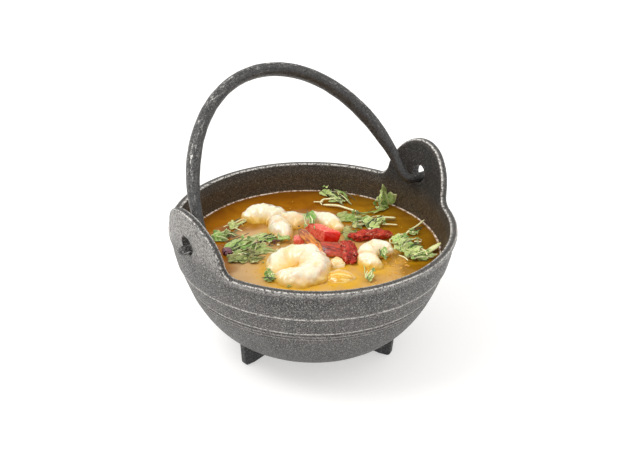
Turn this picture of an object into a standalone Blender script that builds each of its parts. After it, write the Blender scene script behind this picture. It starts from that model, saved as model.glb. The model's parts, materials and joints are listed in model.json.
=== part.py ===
"""Tom yum soup in a small cast-iron hearth pot with a swinging bail handle.

Metres, +Z up. The origin is on the floor under the middle of the pot. The
ears stand on the X axis, the bail turns on the line through their holes, and
it leans towards +Y. Lengths are written in millimetres times MM.
"""

from math import asin, cos, pi, radians, sin, sqrt

import bmesh
import bpy
from mathutils import Euler, Matrix, Vector

MM = 0.001
GAP = 0.3 * MM                  # clearance between touching pieces

# Pot: the outer wall follows a squared-off bowl curve below the rim
RIM_Z = 84.0 * MM               # top of the lip above the floor
WALL_RADIUS = 88.4 * MM         # outer wall just under the lip
IRON = 4.4 * MM                 # wall thickness
RIM_IRON = 3.1 * MM             # wall thickness at the rim and in the ears, without bead or pad
BOWL_DEPTH = 78.2 * MM          # rim to the curve's lowest point
WALL_DROP = 1.39                # how soon the wall leaves the vertical
WALL_SQUARENESS = 3.97          # how late it turns in to the bottom
BOTTOM_Z = 7.5 * MM             # flat underside of the bowl
BOWL_FLOOR_Z = 12.3 * MM        # flat inside of the bowl
BEAD = 1.6 * MM                 # how far the lip stands out of the wall
LIP_HEIGHT = 4.6 * MM
LIP_CURVE = [(0.6, 0.8), (1.0, 0.45), (0.5, 0.1)]   # shares of BEAD out and LIP_HEIGHT down
BAND = 0.8 * MM                 # the band over the ring stands proud by this
RING_Z = 62.8 * MM
GROOVE_Z = 50.0 * MM
GROOVE_DEPTH = 0.7 * MM

# Ears: tongues that carry the wall on upwards, each with a hole for the bail
EAR_HEIGHT = 32.4 * MM          # above the rim
EAR_HALF_WIDTH = 28.5 * MM
EAR_SHOULDER = 27.6 * MM        # half-width where the root fillet starts
EAR_ROOT = 34.5 * MM            # half-width where the fillet meets the rim
EAR_FLARE = 0.12                # outward lean
EAR_PAD = 0.4 * MM              # extra iron on the ear's outer face
EAR_BLEND = 6.0 * MM            # ear height at which the lip has given way to the ear
INNER_BEND_Z = 78.0 * MM        # the inside leans out with the ears from here up
HOLE_RADIUS = 5.75 * MM
HOLE_Z = 94.0 * MM

# Feet: three radial fins under the bowl
FOOT_ANGLES = [radians(a) for a in (62, 184.5, 300)]
FOOT_THICKNESS = 4.6 * MM
FOOT_OUTER = 56.0 * MM
FOOT_INNER = 14.0 * MM
FOOT_FLAT = 48.5 * MM           # inner end of the flat that stands on the floor
FOOT_CORNER = 2.4 * MM

# Bail: half an ellipse whose ends turn outwards through the ears' holes
PIVOT_Z = 91.4 * MM             # the rod lies in the lower part of its hole
BAIL_LEAN = radians(41.0)
BAIL_HALF_SPAN = 76.8 * MM
BAIL_RISE = 95.3 * MM
BAIL_REACH = 96.5 * MM          # tip of the rod outside the ear
BAIL_BEND = 6.0 * MM
BAIL_SLIP = -1.4 * MM           # the arch sits a little nearer the -X ear
BAIL_SWAY = 2.3 * MM            # the crown leans this far to +X
ROD_RADIUS = 2.9 * MM
GRIP_HALF_DEPTH = 4.1 * MM      # in the bail's plane
GRIP_HALF_WIDTH = 5.3 * MM      # across the bail's plane
TAPER_START = 20.0 * MM
TAPER_LENGTH = 48.0 * MM

SOUP_Z = 66.5 * MM

# Prawns: shares of the girth lost evenly, lost towards the tail, and added on a segment
PRAWN_TAPER = 0.12
PRAWN_TAIL = 0.42
PRAWN_BULGE = 0.07
PRAWN_SEGMENTS = 3.5

# Facets around each kind of round piece
SOUP_SIDES = 40
HOLE_SIDES = 20
BAIL_SIDES = 10
TOPPING_SIDES = 8

# Heights of the rings of points on the outer wall below the groove, and on
# the inner wall and the soup's side
OUTER_STEPS = [z * MM for z in (8.3, 10.5, 14.5, 20.5, 29.0, 39.0)]
INNER_STEPS = [z * MM for z in (14.3, 18.5, 26.0, 38.0, 52.0, 66.0)]


# ---------------------------------------------------------------- helpers

def clear_scene():
    for old in list(bpy.data.objects):
        bpy.data.objects.remove(old, do_unlink=True)


def material(name, color, roughness, metallic=0.0):
    made = bpy.data.materials.new(name)
    made.use_nodes = True
    shader = made.node_tree.nodes["Principled BSDF"]
    shader.inputs["Base Color"].default_value = (*color, 1.0)
    shader.inputs["Roughness"].default_value = roughness
    shader.inputs["Metallic"].default_value = metallic
    return made


def steps(start, stop, count):
    """count values from start to stop, both included."""
    return [start + (stop - start) * i / (count - 1) for i in range(count)]


def smooth(value):
    value = min(max(value, 0.0), 1.0)
    return value * value * (3.0 - 2.0 * value)


def new_object(name, bm, look):
    """Object from a bmesh, or a hidden guide where it has no look."""
    bmesh.ops.recalc_face_normals(bm, faces=bm.faces)
    mesh = bpy.data.meshes.new(name)
    bm.to_mesh(mesh)
    bm.free()
    mesh.shade_smooth()
    mesh.set_sharp_from_angle(angle=radians(40))
    made = bpy.data.objects.new(name, mesh)
    bpy.context.collection.objects.link(made)
    if look is None:
        made.hide_render = True
        made.display_type = "WIRE"
    else:
        mesh.materials.append(look)
    return made


def skin(name, rings, look):
    """Join rings of points into one closed object. A ring of one point is a pole,
    and an end ring of more points is closed with a flat face."""
    bm = bmesh.new()
    loops = [[bm.verts.new(point) for point in ring] for ring in rings]
    for low, high in zip(loops, loops[1:]):
        count = max(len(low), len(high))
        for i in range(count):
            j = (i + 1) % count
            corners = [low[i % len(low)], low[j % len(low)], high[j % len(high)], high[i % len(high)]]
            bm.faces.new(list(dict.fromkeys(corners)))
    for end in (loops[0], loops[-1]):
        if len(end) > 1:
            bm.faces.new(end)
    return new_object(name, bm, look)


def tube_rings(path, sizes, up, sides):
    """Oval rings along a path. Each size is (half across, half along up)."""
    rings = []
    last = len(path) - 1
    for i, (point, (across, along)) in enumerate(zip(path, sizes)):
        tangent = (path[min(i + 1, last)] - path[max(i - 1, 0)]).normalized()
        side = tangent.cross(up).normalized()
        rise = side.cross(tangent)
        turns = [2 * pi * k / sides for k in range(sides)]
        rings.append([point + side * across * cos(a) + rise * along * sin(a) for a in turns])
    return rings


def combine(target, tool, operation):
    """Boolean of target with a guide object, left on the target as a modifier."""
    cut = target.modifiers.new(tool.name, "BOOLEAN")
    cut.operation = operation
    cut.solver = "EXACT"
    cut.object = tool


# -------------------------------------------------------------------- pot

def bowl_radius(z, top_radius, depth):
    drop = min((RIM_Z - z) / depth, 1.0)
    return top_radius * (1.0 - drop ** WALL_DROP) ** (1.0 / WALL_SQUARENESS)


def bowl_height(radius, top_radius, depth):
    """Height at which the bowl curve has this radius."""
    return RIM_Z - depth * (1.0 - (radius / top_radius) ** WALL_SQUARENESS) ** (1.0 / WALL_DROP)


def outer_radius(z):
    return bowl_radius(z, WALL_RADIUS, BOWL_DEPTH)


def inner_radius(z):
    return bowl_radius(z, WALL_RADIUS - IRON, BOWL_DEPTH - IRON)


def ear_height(y):
    """Height of the ear's edge over the rim, at the distance y from its middle."""
    y = abs(y)
    if y < EAR_SHOULDER:
        return EAR_HEIGHT * sqrt(1.0 - (y / EAR_HALF_WIDTH) ** 2)
    if y < EAR_ROOT:
        shoulder = EAR_HEIGHT * sqrt(1.0 - (EAR_SHOULDER / EAR_HALF_WIDTH) ** 2)
        run = (EAR_ROOT - y) / (EAR_ROOT - EAR_SHOULDER)
        return shoulder * (1.0 - sqrt(1.0 - run * run))
    return 0.0


def quarter_angles():
    """Angles from the middle of an ear to the pot's front, closer where the ear's
    edge is steep."""
    ellipse_end = asin(EAR_SHOULDER / EAR_HALF_WIDTH)
    across = [EAR_HALF_WIDTH * sin(a) for a in steps(0.0, ellipse_end, 7)]
    fillet = [EAR_ROOT - (EAR_ROOT - EAR_SHOULDER) * sin(a) for a in steps(pi / 2, 0.0, 4)]
    ear = [asin(y / WALL_RADIUS) for y in across + fillet[1:]]
    return ear + steps(ear[-1], pi / 2, 9)[1:]


def pot_angles():
    quarter = quarter_angles()
    half = quarter + [pi - a for a in reversed(quarter[:-1])]
    return half + [-a for a in reversed(half[1:-1])]


def pot_section(angle):
    """(radius, height) points up the outside, over the lip and down the inside."""
    ear = ear_height(WALL_RADIUS * sin(angle))
    plain = 1.0 - smooth(ear / EAR_BLEND)
    pad = EAR_PAD * (1.0 - plain)
    face = WALL_RADIUS + BAND + pad + EAR_FLARE * ear
    inside = WALL_RADIUS - RIM_IRON + EAR_FLARE * ear
    top = RIM_Z + ear
    section = [(outer_radius(BOTTOM_Z), BOTTOM_Z)]
    section += [(outer_radius(z), z) for z in OUTER_STEPS]
    for step, depth in ((-1.0, 0.0), (0.0, GROOVE_DEPTH), (1.0, 0.0)):
        z = GROOVE_Z + step * MM
        section.append((outer_radius(z) - depth, z))
    ring_top = RING_Z + BAND
    under_lip = RIM_Z - LIP_HEIGHT
    section += [
        (outer_radius(RING_Z), RING_Z),
        (outer_radius(ring_top) + BAND + 0.5 * pad, ring_top),
        (outer_radius(under_lip) + pad + BAND * (1.0 - plain), under_lip),
    ]
    section += [(face + plain * (out * BEAD - BAND), top - down * LIP_HEIGHT) for out, down in LIP_CURVE]
    section += [
        (face - 0.3 * RIM_IRON, top),
        (inside + 0.25 * RIM_IRON, top),
        (inside, top - 0.25 * LIP_HEIGHT),
    ]
    inner = [INNER_BEND_Z] + INNER_STEPS[::-1] + [BOWL_FLOOR_Z]
    section += [(inner_radius(z), z) for z in inner]
    return section


def ear_holes():
    bm = bmesh.new()
    along_x = Matrix.Translation((0.0, 0.0, HOLE_Z)) @ Matrix.Rotation(pi / 2, 4, "Y")
    bmesh.ops.create_cone(bm, cap_ends=True, segments=HOLE_SIDES, radius1=HOLE_RADIUS,
                          radius2=HOLE_RADIUS, depth=2.4 * WALL_RADIUS, matrix=along_x)
    return new_object("ear_holes", bm, None)


def foot_outline():
    """(radius, height) points of a fin: rounded outer corner, a flat to stand on,
    a rise towards the middle, and a top buried halfway into the bowl's iron."""
    corner = [(FOOT_OUTER - FOOT_CORNER * (1 - cos(a)), FOOT_CORNER * (1 - sin(a)))
              for a in steps(0.0, pi / 2, 4)]
    top = []
    for radius in steps(FOOT_INNER, FOOT_OUTER + 1.5 * MM, 6):
        outside = max(bowl_height(radius, WALL_RADIUS, BOWL_DEPTH), BOTTOM_Z)
        inside = max(bowl_height(radius, WALL_RADIUS - IRON, BOWL_DEPTH - IRON), BOWL_FLOOR_Z)
        top.append((radius, (outside + inside) / 2))
    return corner + [(FOOT_FLAT, 0.0), (FOOT_INNER, BOTTOM_Z - 0.5 * MM)] + top


def feet():
    bm = bmesh.new()
    half = FOOT_THICKNESS / 2
    for angle in FOOT_ANGLES:
        turn = Matrix.Rotation(angle, 3, "Z")
        sides = [[bm.verts.new(turn @ Vector((r, y, z))) for r, z in foot_outline()] for y in (-half, half)]
        count = len(sides[0])
        for i in range(count):
            j = (i + 1) % count
            bm.faces.new((sides[0][i], sides[0][j], sides[1][j], sides[1][i]))
        bm.faces.new(sides[0])
        bm.faces.new(sides[1])
    return new_object("feet", bm, None)


def pot():
    angles = pot_angles()
    sections = [pot_section(angle) for angle in angles]
    rings = []
    for row in zip(*sections):
        rings.append([Vector((r * cos(a), r * sin(a), z)) for a, (r, z) in zip(angles, row)])
    made = skin("pot", rings, material("cast_iron", (0.10, 0.10, 0.10), 0.55, 0.6))
    combine(made, ear_holes(), "DIFFERENCE")
    combine(made, feet(), "UNION")
    return made


# ------------------------------------------------------------------- bail

def half_bail_path(reach):
    """(x, height) points of the bail's own plane, from the +X tip to the crown."""
    bend_x = BAIL_HALF_SPAN + BAIL_BEND
    points = [(x, 0.0) for x in steps(reach, bend_x, 5)]
    points += [(bend_x - BAIL_BEND * sin(a), BAIL_BEND * (1 - cos(a))) for a in steps(0.3, pi / 2, 4)]
    start = asin(BAIL_BEND / BAIL_RISE)
    arch = steps(start, pi / 2, 17)[1:]
    points += [(BAIL_HALF_SPAN * cos(a), BAIL_RISE * sin(a)) for a in arch]
    return [Vector((x, 0.0, z)) for x, z in points]


def bail():
    half = half_bail_path(BAIL_REACH - BAIL_SLIP)
    other = half_bail_path(BAIL_REACH + BAIL_SLIP)
    path = half + [Vector((-p.x, 0.0, p.z)) for p in reversed(other[:-1])]
    path = [point + Vector((BAIL_SLIP + BAIL_SWAY * smooth(point.z / BAIL_RISE), 0.0, 0.0)) for point in path]
    travelled = [0.0]
    for before, after in zip(half, half[1:]):
        travelled.append(travelled[-1] + (after - before).length)
    travelled += list(reversed(travelled[:-1]))
    sizes = []
    for distance in travelled:
        grown = smooth((distance - TAPER_START) / TAPER_LENGTH)
        blunt = sqrt(min(1.0, 0.35 + distance / ROD_RADIUS))
        depth = ROD_RADIUS + (GRIP_HALF_DEPTH - ROD_RADIUS) * grown
        width = ROD_RADIUS + (GRIP_HALF_WIDTH - ROD_RADIUS) * grown
        sizes.append((depth * blunt, width * blunt))
    rings = tube_rings(path, sizes, Vector((0.0, 1.0, 0.0)), BAIL_SIDES)
    made = skin("bail", rings, material("forged_iron", (0.12, 0.12, 0.12), 0.5, 0.7))
    made.location = (0.0, 0.0, PIVOT_Z)
    made.rotation_euler = (-BAIL_LEAN, 0.0, 0.0)
    return made


# --------------------------------------------------------------- toppings
# Each shape takes grow, which is 0 for the piece itself and GAP for the
# guide that clears its place in the soup or in a piece beneath it.

def place(x, y, z, tilt=0.0, roll=0.0, turn=0.0, spin=0.0):
    """Placement with the middle at (x, y, z) in millimetres and angles in degrees. spin turns
    the piece in its own plane before anything else does."""
    turned = Euler((radians(tilt), radians(roll), radians(turn))).to_matrix().to_4x4()
    return Matrix.Translation(Vector((x, y, z)) * MM) @ turned @ Matrix.Rotation(radians(spin), 4, "Z")


def prawn_rings(grow, where, curl_radius, girth, sweep, closing=0.25):
    """A peeled prawn curled in its own XY plane, thick end first at angle 0."""
    path = []
    sizes = []
    for t in steps(0.0, 1.0, 14):
        radius = curl_radius * (1.0 - closing * t) * MM
        angle = radians(sweep) * t
        path.append(where @ Vector((radius * cos(angle), radius * sin(angle), 0.0)))
        taper = 1.0 - PRAWN_TAPER * t - PRAWN_TAIL * smooth((t - 0.55) / 0.45)
        ends = sqrt(min(1.0, 0.12 + 7.0 * min(t, 1.0 - t)))
        segment = 1.0 + PRAWN_BULGE * abs(cos(PRAWN_SEGMENTS * pi * t))
        size = girth * MM * taper * ends * segment + grow
        sizes.append((size, 1.08 * size))
    up = where.to_3x3() @ Vector((0.0, 0.0, 1.0))
    return tube_rings(path, sizes, up, TOPPING_SIDES)


def chunk_rings(grow, where, length, depth, height):
    """A wedge cut from a round fruit: arched skin below, two flat cuts above."""
    rings = []
    for t in steps(0.0, 1.0, 7):
        swell = sqrt(max(1.0 - (2.0 * t - 1.0) ** 2, 0.0)) * 0.75 + 0.25
        x = (t - 0.5) * (length * MM + 2 * grow)
        ring = []
        for a in steps(pi, 2 * pi, 6):
            ring.append(Vector((x, cos(a) * (0.5 * depth * MM + grow) * swell,
                                sin(a) * (0.45 * height * MM + grow) * swell)))
        ring.append(Vector((x, 0.12 * depth * MM * swell, (0.55 * height * MM + grow) * swell)))
        rings.append([where @ point for point in ring])
    return rings


def strip_rings(grow, where, length, width, thickness, bow, crinkle=0.0):
    """A strip along its own X, bowed upwards in the middle, with tapered ends."""
    path = []
    sizes = []
    for t in steps(0.0, 1.0, 11):
        offset = t - 0.5
        path.append(where @ Vector((offset * length * MM, crinkle * MM * sin(9.0 * pi * t),
                                    bow * MM * (1.0 - 4.0 * offset * offset))))
        ends = sqrt(min(1.0, 0.15 + 5.0 * min(t, 1.0 - t)))
        ripple = 1.0 + 0.22 * crinkle * cos(11.0 * pi * t)
        sizes.append((0.5 * width * MM * ends * ripple + grow, 0.5 * thickness * MM * ends + grow))
    up = where.to_3x3() @ Vector((0.0, 0.0, 1.0))
    return tube_rings(path, sizes, up, TOPPING_SIDES)


# name, look, ring function, placement, sizes. A piece clears its place in the
# soup and in every piece that comes after it.
CREAM = ("prawn_flesh", (0.85, 0.62, 0.42), 0.35)
RED = ("tomato_red", (0.62, 0.03, 0.02), 0.3)
ORANGE = ("pepper_orange", (0.75, 0.18, 0.02), 0.3)
DARK_RED = ("dried_chilli", (0.22, 0.01, 0.01), 0.35)
PETAL = ("onion_petal", (0.85, 0.66, 0.28), 0.3)
PURPLE = ("shallot", (0.20, 0.03, 0.08), 0.35)
STRAW = ("lemongrass", (0.68, 0.66, 0.30), 0.45)

FRONT = -37.7                   # turn of the pieces that face the front
TOPPINGS = [
    ("tomato_wedge", RED, chunk_rings, place(8.5, 0.5, 71.5, tilt=20, turn=-42), (24, 12, 11)),
    ("pepper_strip", ORANGE, strip_rings, place(-5, -5, 72.8, tilt=-38, turn=79), (36, 6, 2, 2.5)),
    ("tomato_scrap", RED, chunk_rings, place(-7, 6.5, 69, turn=40), (10, 7, 5)),
    ("pepper_scrap", ORANGE, strip_rings, place(2.5, -14.5, 68.8, tilt=30, turn=-50), (21, 10, 3.4, 1)),
    ("dried_chilli_1", DARK_RED, strip_rings, place(11, -22.5, 68, turn=-121), (27, 10, 6, 1, 1.0)),
    ("dried_chilli_2", DARK_RED, strip_rings, place(36, -13, 68, turn=-27), (29, 7, 6, 1, 1.0)),
    ("onion_petal_1", PETAL, strip_rings, place(-3, -29.5, 67.8, tilt=35, turn=FRONT), (10, 9, 2.6, 0.5)),
    ("onion_petal_2", PETAL, strip_rings, place(-11, -43.5, 66.9, tilt=22, turn=FRONT), (17, 12, 2.8, 1)),
    ("lemongrass_strip", STRAW, strip_rings, place(54, -49, 68.4, roll=-10, turn=2), (21, 4.0, 2.4, 0.3)),
    ("shallot_piece", PURPLE, strip_rings, place(-49.5, 22.5, 67, turn=60), (8, 6, 4, 0)),
    ("prawn_5", CREAM, prawn_rings, place(22, -38.5, 67, tilt=208, turn=FRONT, spin=78), (7.2, 5.8, 262, -0.2)),
    ("prawn_4", CREAM, prawn_rings, place(-27, -19, 66.5, tilt=4, roll=-6, turn=FRONT, spin=190), (13.8, 8.8, 325, 0.1)),
    ("prawn_3", CREAM, prawn_rings, place(6.2, 11, 66.3, tilt=172, turn=72), (20, 5.6, 96, 0.0)),
    ("prawn_2", CREAM, prawn_rings, place(2, 24, 67.3, tilt=188, turn=-128), (9.8, 8.0, 230, 0.1)),
    ("prawn_1", CREAM, prawn_rings, place(-12, 40, 65.6, tilt=10, turn=FRONT, spin=28), (13, 7.6, 124, 0.0)),
]


def toppings():
    """Every topping, and one guide for each that clears room for it."""
    looks = {}
    made = []
    guides = []
    for name, look, shape, where, sizes in TOPPINGS:
        if look[0] not in looks:
            looks[look[0]] = material(*look)
        piece = skin(name, shape(0.0, where, *sizes), looks[look[0]])
        for guide in guides:
            if near(piece, guide):
                combine(piece, guide, "DIFFERENCE")
        made.append(piece)
        guides.append(skin(name + "_room", shape(GAP, where, *sizes), None))
    return made, guides


def near(first, second):
    """Whether the boxes of two objects overlap."""
    bounds = []
    for thing in (first, second):
        points = [vertex.co for vertex in thing.data.vertices]
        bounds.append([(min(p[i] for p in points), max(p[i] for p in points)) for i in range(3)])
    return all(a[0] < b[1] and b[0] < a[1] for a, b in zip(*bounds))


# ------------------------------------------------------------------- soup

def soup(guides):
    floor_z = BOWL_FLOOR_Z + GAP
    profile = [(inner_radius(BOWL_FLOOR_Z) - GAP, floor_z)]
    profile += [(inner_radius(z) - GAP, z) for z in INNER_STEPS + [SOUP_Z]]
    turns = [2 * pi * i / SOUP_SIDES for i in range(SOUP_SIDES)]
    rings = [[Vector((r * cos(a), r * sin(a), z)) for a in turns] for r, z in profile]
    made = skin("soup", rings, material("broth", (0.62, 0.24, 0.03), 0.12))
    for guide in guides:
        if near(made, guide):
            combine(made, guide, "DIFFERENCE")
    return made


def main():
    clear_scene()
    pot()
    bail()
    pieces, guides = toppings()
    soup(guides)


main()
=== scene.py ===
"""Looks of the tom yum soup in its cast-iron hearth pot.

Lengths are in millimetres times MM, +Z up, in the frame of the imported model.
The pot, the bail, the broth and every topping are finer copies of their CAD
solids. The herbs, the oil and the small bits are modelled here.
"""

import json
from math import asin, cos, pi, radians, sin, sqrt

import bmesh
import bpy
import numpy as np
from mathutils import Euler, Matrix, Vector, noise
from mathutils.kdtree import KDTree


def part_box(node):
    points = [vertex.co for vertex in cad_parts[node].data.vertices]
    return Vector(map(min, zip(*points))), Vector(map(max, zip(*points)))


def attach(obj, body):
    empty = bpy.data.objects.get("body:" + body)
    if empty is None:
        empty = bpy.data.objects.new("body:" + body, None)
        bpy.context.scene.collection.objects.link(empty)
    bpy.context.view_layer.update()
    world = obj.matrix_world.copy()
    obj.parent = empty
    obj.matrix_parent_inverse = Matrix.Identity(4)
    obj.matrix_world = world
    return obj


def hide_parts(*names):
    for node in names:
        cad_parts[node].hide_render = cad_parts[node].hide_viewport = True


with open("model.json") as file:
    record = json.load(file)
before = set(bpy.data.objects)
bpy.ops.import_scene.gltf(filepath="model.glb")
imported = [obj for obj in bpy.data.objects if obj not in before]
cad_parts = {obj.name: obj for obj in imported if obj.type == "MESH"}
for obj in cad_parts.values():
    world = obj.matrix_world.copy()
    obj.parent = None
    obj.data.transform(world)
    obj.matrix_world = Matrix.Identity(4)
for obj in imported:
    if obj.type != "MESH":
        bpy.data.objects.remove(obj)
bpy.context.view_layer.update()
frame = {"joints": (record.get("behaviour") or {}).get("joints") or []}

MM = 0.001
POT = "pot"
BAIL = "bail"

# Camera, on the pot's scale
CAMERA_AT = Vector((-397.9, -535.0, 427.2)) * MM
CAMERA_AIM = Vector((3.0, -3.6, 81.5)) * MM
CAMERA_ROLL = radians(1.24)
CAMERA_LENS = 67.4

# Pot, with the driving dimensions of its CAD solid
RIM_Z = 84.0 * MM
WALL_RADIUS = 88.4 * MM
IRON = 4.4 * MM
RIM_IRON = 3.1 * MM
BOWL_DEPTH = 78.2 * MM
WALL_DROP = 1.39
WALL_SQUARENESS = 3.97
BOTTOM_Z = 7.5 * MM
BOWL_FLOOR_Z = 12.3 * MM
BEAD = 1.6 * MM
LIP_HEIGHT = 4.6 * MM
BAND = 0.8 * MM
RING_Z = 62.8 * MM
INNER_BEND_Z = 78.0 * MM
GROOVES = [(50.0 * MM, 0.7 * MM, 0.8 * MM), (47.6 * MM, 0.35 * MM, 0.5 * MM), (45.4 * MM, 0.25 * MM, 0.5 * MM)]
EAR_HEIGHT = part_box("pot")[1].z - RIM_Z
EAR_HALF_WIDTH = 28.5 * MM
EAR_SHOULDER = 27.6 * MM
EAR_ROOT = 34.5 * MM
EAR_FLARE = 0.12
EAR_PAD = 0.4 * MM
EAR_BLEND = 6.0 * MM
EDGE_ROUND = 1.2 * MM           # rounding of the ears' and the rim's edge
HOLE_RADIUS = 5.75 * MM
HOLE_Z = 94.0 * MM

FOOT_ANGLES = [radians(a) for a in (62, 184.5, 300)]
FOOT_THICKNESS = 4.6 * MM
FOOT_OUTER = 56.0 * MM
FOOT_INNER = 14.0 * MM
FOOT_FLAT = 48.5 * MM
FOOT_CORNER = 2.4 * MM

# Bail
PIVOT = Vector(frame["joints"][0]["pos_m"])
BAIL_LEAN = radians(41.0)
BAIL_HALF_SPAN = 76.8 * MM
BAIL_RISE = 95.3 * MM
BAIL_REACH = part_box("bail")[1].x
BAIL_BEND = 6.0 * MM
BAIL_SLIP = -1.4 * MM
BAIL_SWAY = 2.3 * MM            # the crown leans this far to +X
ROD_RADIUS = 2.9 * MM
GRIP_HALF_DEPTH = 4.1 * MM
GRIP_HALF_WIDTH = 5.3 * MM
TAPER_START = 20.0 * MM
TAPER_LENGTH = 48.0 * MM

SOUP_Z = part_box("soup")[1].z


# ---------------------------------------------------------------- helpers

def smooth(value):
    value = np.clip(value, 0.0, 1.0)
    return value * value * (3.0 - 2.0 * value)


def lumps(points, size, seed=0.0):
    """Smooth noise from -1 to 1 at each point, with bumps of this size."""
    shift = Vector((seed, 2.0 * seed, -seed))
    return np.array([noise.noise(Vector(p) / size + shift) for p in points])


def grid_faces(rows, columns, closed=True):
    """Quads of a grid of points stored row by row."""
    faces = []
    for i in range(rows - 1):
        for j in range(columns if closed else columns - 1):
            k = (j + 1) % columns
            faces.append((i * columns + j, i * columns + k, (i + 1) * columns + k, (i + 1) * columns + j))
    return faces


def capped_faces(rows, columns):
    """A closed skin: the grid and a flat face over its first and last ring."""
    first = tuple(reversed(range(columns)))
    last = tuple(range((rows - 1) * columns, rows * columns))
    return grid_faces(rows, columns) + [first, last]


def piece(name, points, faces, look, body=POT, nodes=(), values=None):
    """A smooth mesh that rides on a body, stands for CAD nodes, and holds named values at its points."""
    mesh = bpy.data.meshes.new(name)
    mesh.from_pydata([tuple(p) for p in points], [], faces)
    for key, numbers in (values or {}).items():
        mesh.attributes.new(key, "FLOAT", "POINT").data.foreach_set("value", np.asarray(numbers, float))
    mesh.materials.append(look)
    mesh.shade_smooth()
    made = bpy.data.objects.new(name, mesh)
    bpy.context.scene.collection.objects.link(made)
    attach(made, body)
    if nodes:
        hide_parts(*nodes)
    return made


def hold_course(made, points):
    """Keeps a place for each point of a piece, for patterns that run along it."""
    store = made.data.attributes.new("course", "FLOAT_VECTOR", "POINT")
    store.data.foreach_set("vector", np.asarray(points, float).ravel())


def apply_modifiers(thing):
    bpy.context.view_layer.update()
    evaluated = thing.evaluated_get(bpy.context.evaluated_depsgraph_get())
    thing.data = bpy.data.meshes.new_from_object(evaluated)
    thing.modifiers.clear()


def rings_along(path, across, along, up, sides, square=2.0):
    """Oval rings along a path, as one array of points, with the angle round the ring
    of each point. square above 2 makes the ovals squarer."""
    path = np.asarray(path, float)
    tangent = np.gradient(path, axis=0)
    tangent /= np.linalg.norm(tangent, axis=1)[:, None]
    side = np.cross(tangent, up)
    side /= np.linalg.norm(side, axis=1)[:, None]
    rise = np.cross(side, tangent)
    turns = np.linspace(0, 2 * pi, sides, endpoint=False)
    reach = (np.abs(np.cos(turns)) ** square + np.abs(np.sin(turns)) ** square) ** (-1.0 / square)
    out_side = np.outer(across, reach * np.cos(turns))
    out_rise = np.outer(along, reach * np.sin(turns))
    points = path[:, None] + side[:, None] * out_side[..., None] + rise[:, None] * out_rise[..., None]
    return points.reshape(-1, 3), np.tile(turns, len(path))


class Look:
    """A node material, built through short calls that return sockets. Sizes are in millimetres."""

    def __init__(self, name, **fixed):
        self.material = bpy.data.materials.new(name)
        self.material.use_nodes = True
        self.tree = self.material.node_tree
        self.shader = self.tree.nodes["Principled BSDF"]
        self.place = self.add("TexCoord").outputs["Object"]
        for key, value in fixed.items():
            self.set(key.replace("_", " "), value)

    def add(self, kind, inputs=None, **settings):
        made = self.tree.nodes.new("ShaderNode" + kind)
        for key, value in settings.items():
            setattr(made, key, value)
        for key, value in (inputs or {}).items():
            self.feed(made.inputs[key], value)
        return made

    def feed(self, socket, value):
        if isinstance(value, bpy.types.NodeSocket):
            self.tree.links.new(value, socket)
        elif socket.type == "RGBA" and len(value) == 3:
            socket.default_value = (*value, 1.0)
        else:
            socket.default_value = value

    def set(self, name, value):
        self.feed(self.shader.inputs[name], value)

    def noise(self, size, detail=4.0, roughness=0.5, stretch=(1, 1, 1), distortion=0.0, place=None):
        spread = self.add("Mapping", {"Vector": place or self.place, "Scale": stretch})
        return self.add("TexNoise", {"Vector": spread.outputs[0], "Scale": 1.0 / (size * MM), "Detail": detail,
                                     "Roughness": roughness, "Distortion": distortion}).outputs["Fac"]

    def cells(self, size, feature="F1", place=None):
        return self.add("TexVoronoi", {"Vector": place or self.place, "Scale": 1.0 / (size * MM)},
                        feature=feature).outputs["Distance"]

    def value(self, name):
        return self.add("Attribute", attribute_name=name).outputs["Fac"]

    def math(self, operation, first, second=0.0, third=0.0):
        made = self.add("Math", operation=operation)
        for socket, value in zip(made.inputs, (first, second, third)):
            self.feed(socket, value)
        return made.outputs[0]

    def range(self, value, low, high, to_low=0.0, to_high=1.0):
        return self.add("MapRange", {"Value": value, "From Min": low, "From Max": high, "To Min": to_low,
                                     "To Max": to_high}, interpolation_type="SMOOTHSTEP").outputs["Result"]

    def mix(self, amount, first, second, blend="MIX"):
        made = self.add("Mix", data_type="RGBA", blend_type=blend)
        self.feed(made.inputs["Factor"], amount)
        colors = [socket for socket in made.inputs if socket.type == "RGBA"]
        self.feed(colors[0], first)
        self.feed(colors[1], second)
        return [socket for socket in made.outputs if socket.type == "RGBA"][0]

    def bump(self, height, depth, normal=None):
        inputs = {"Height": height, "Distance": depth * MM, "Strength": 1.0}
        if normal is not None:
            inputs["Normal"] = normal
        return self.add("Bump", inputs).outputs["Normal"]


# -------------------------------------------------------------- materials

def scaled(color, amount):
    return tuple(min(amount * c, 1.0) for c in color)


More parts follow.
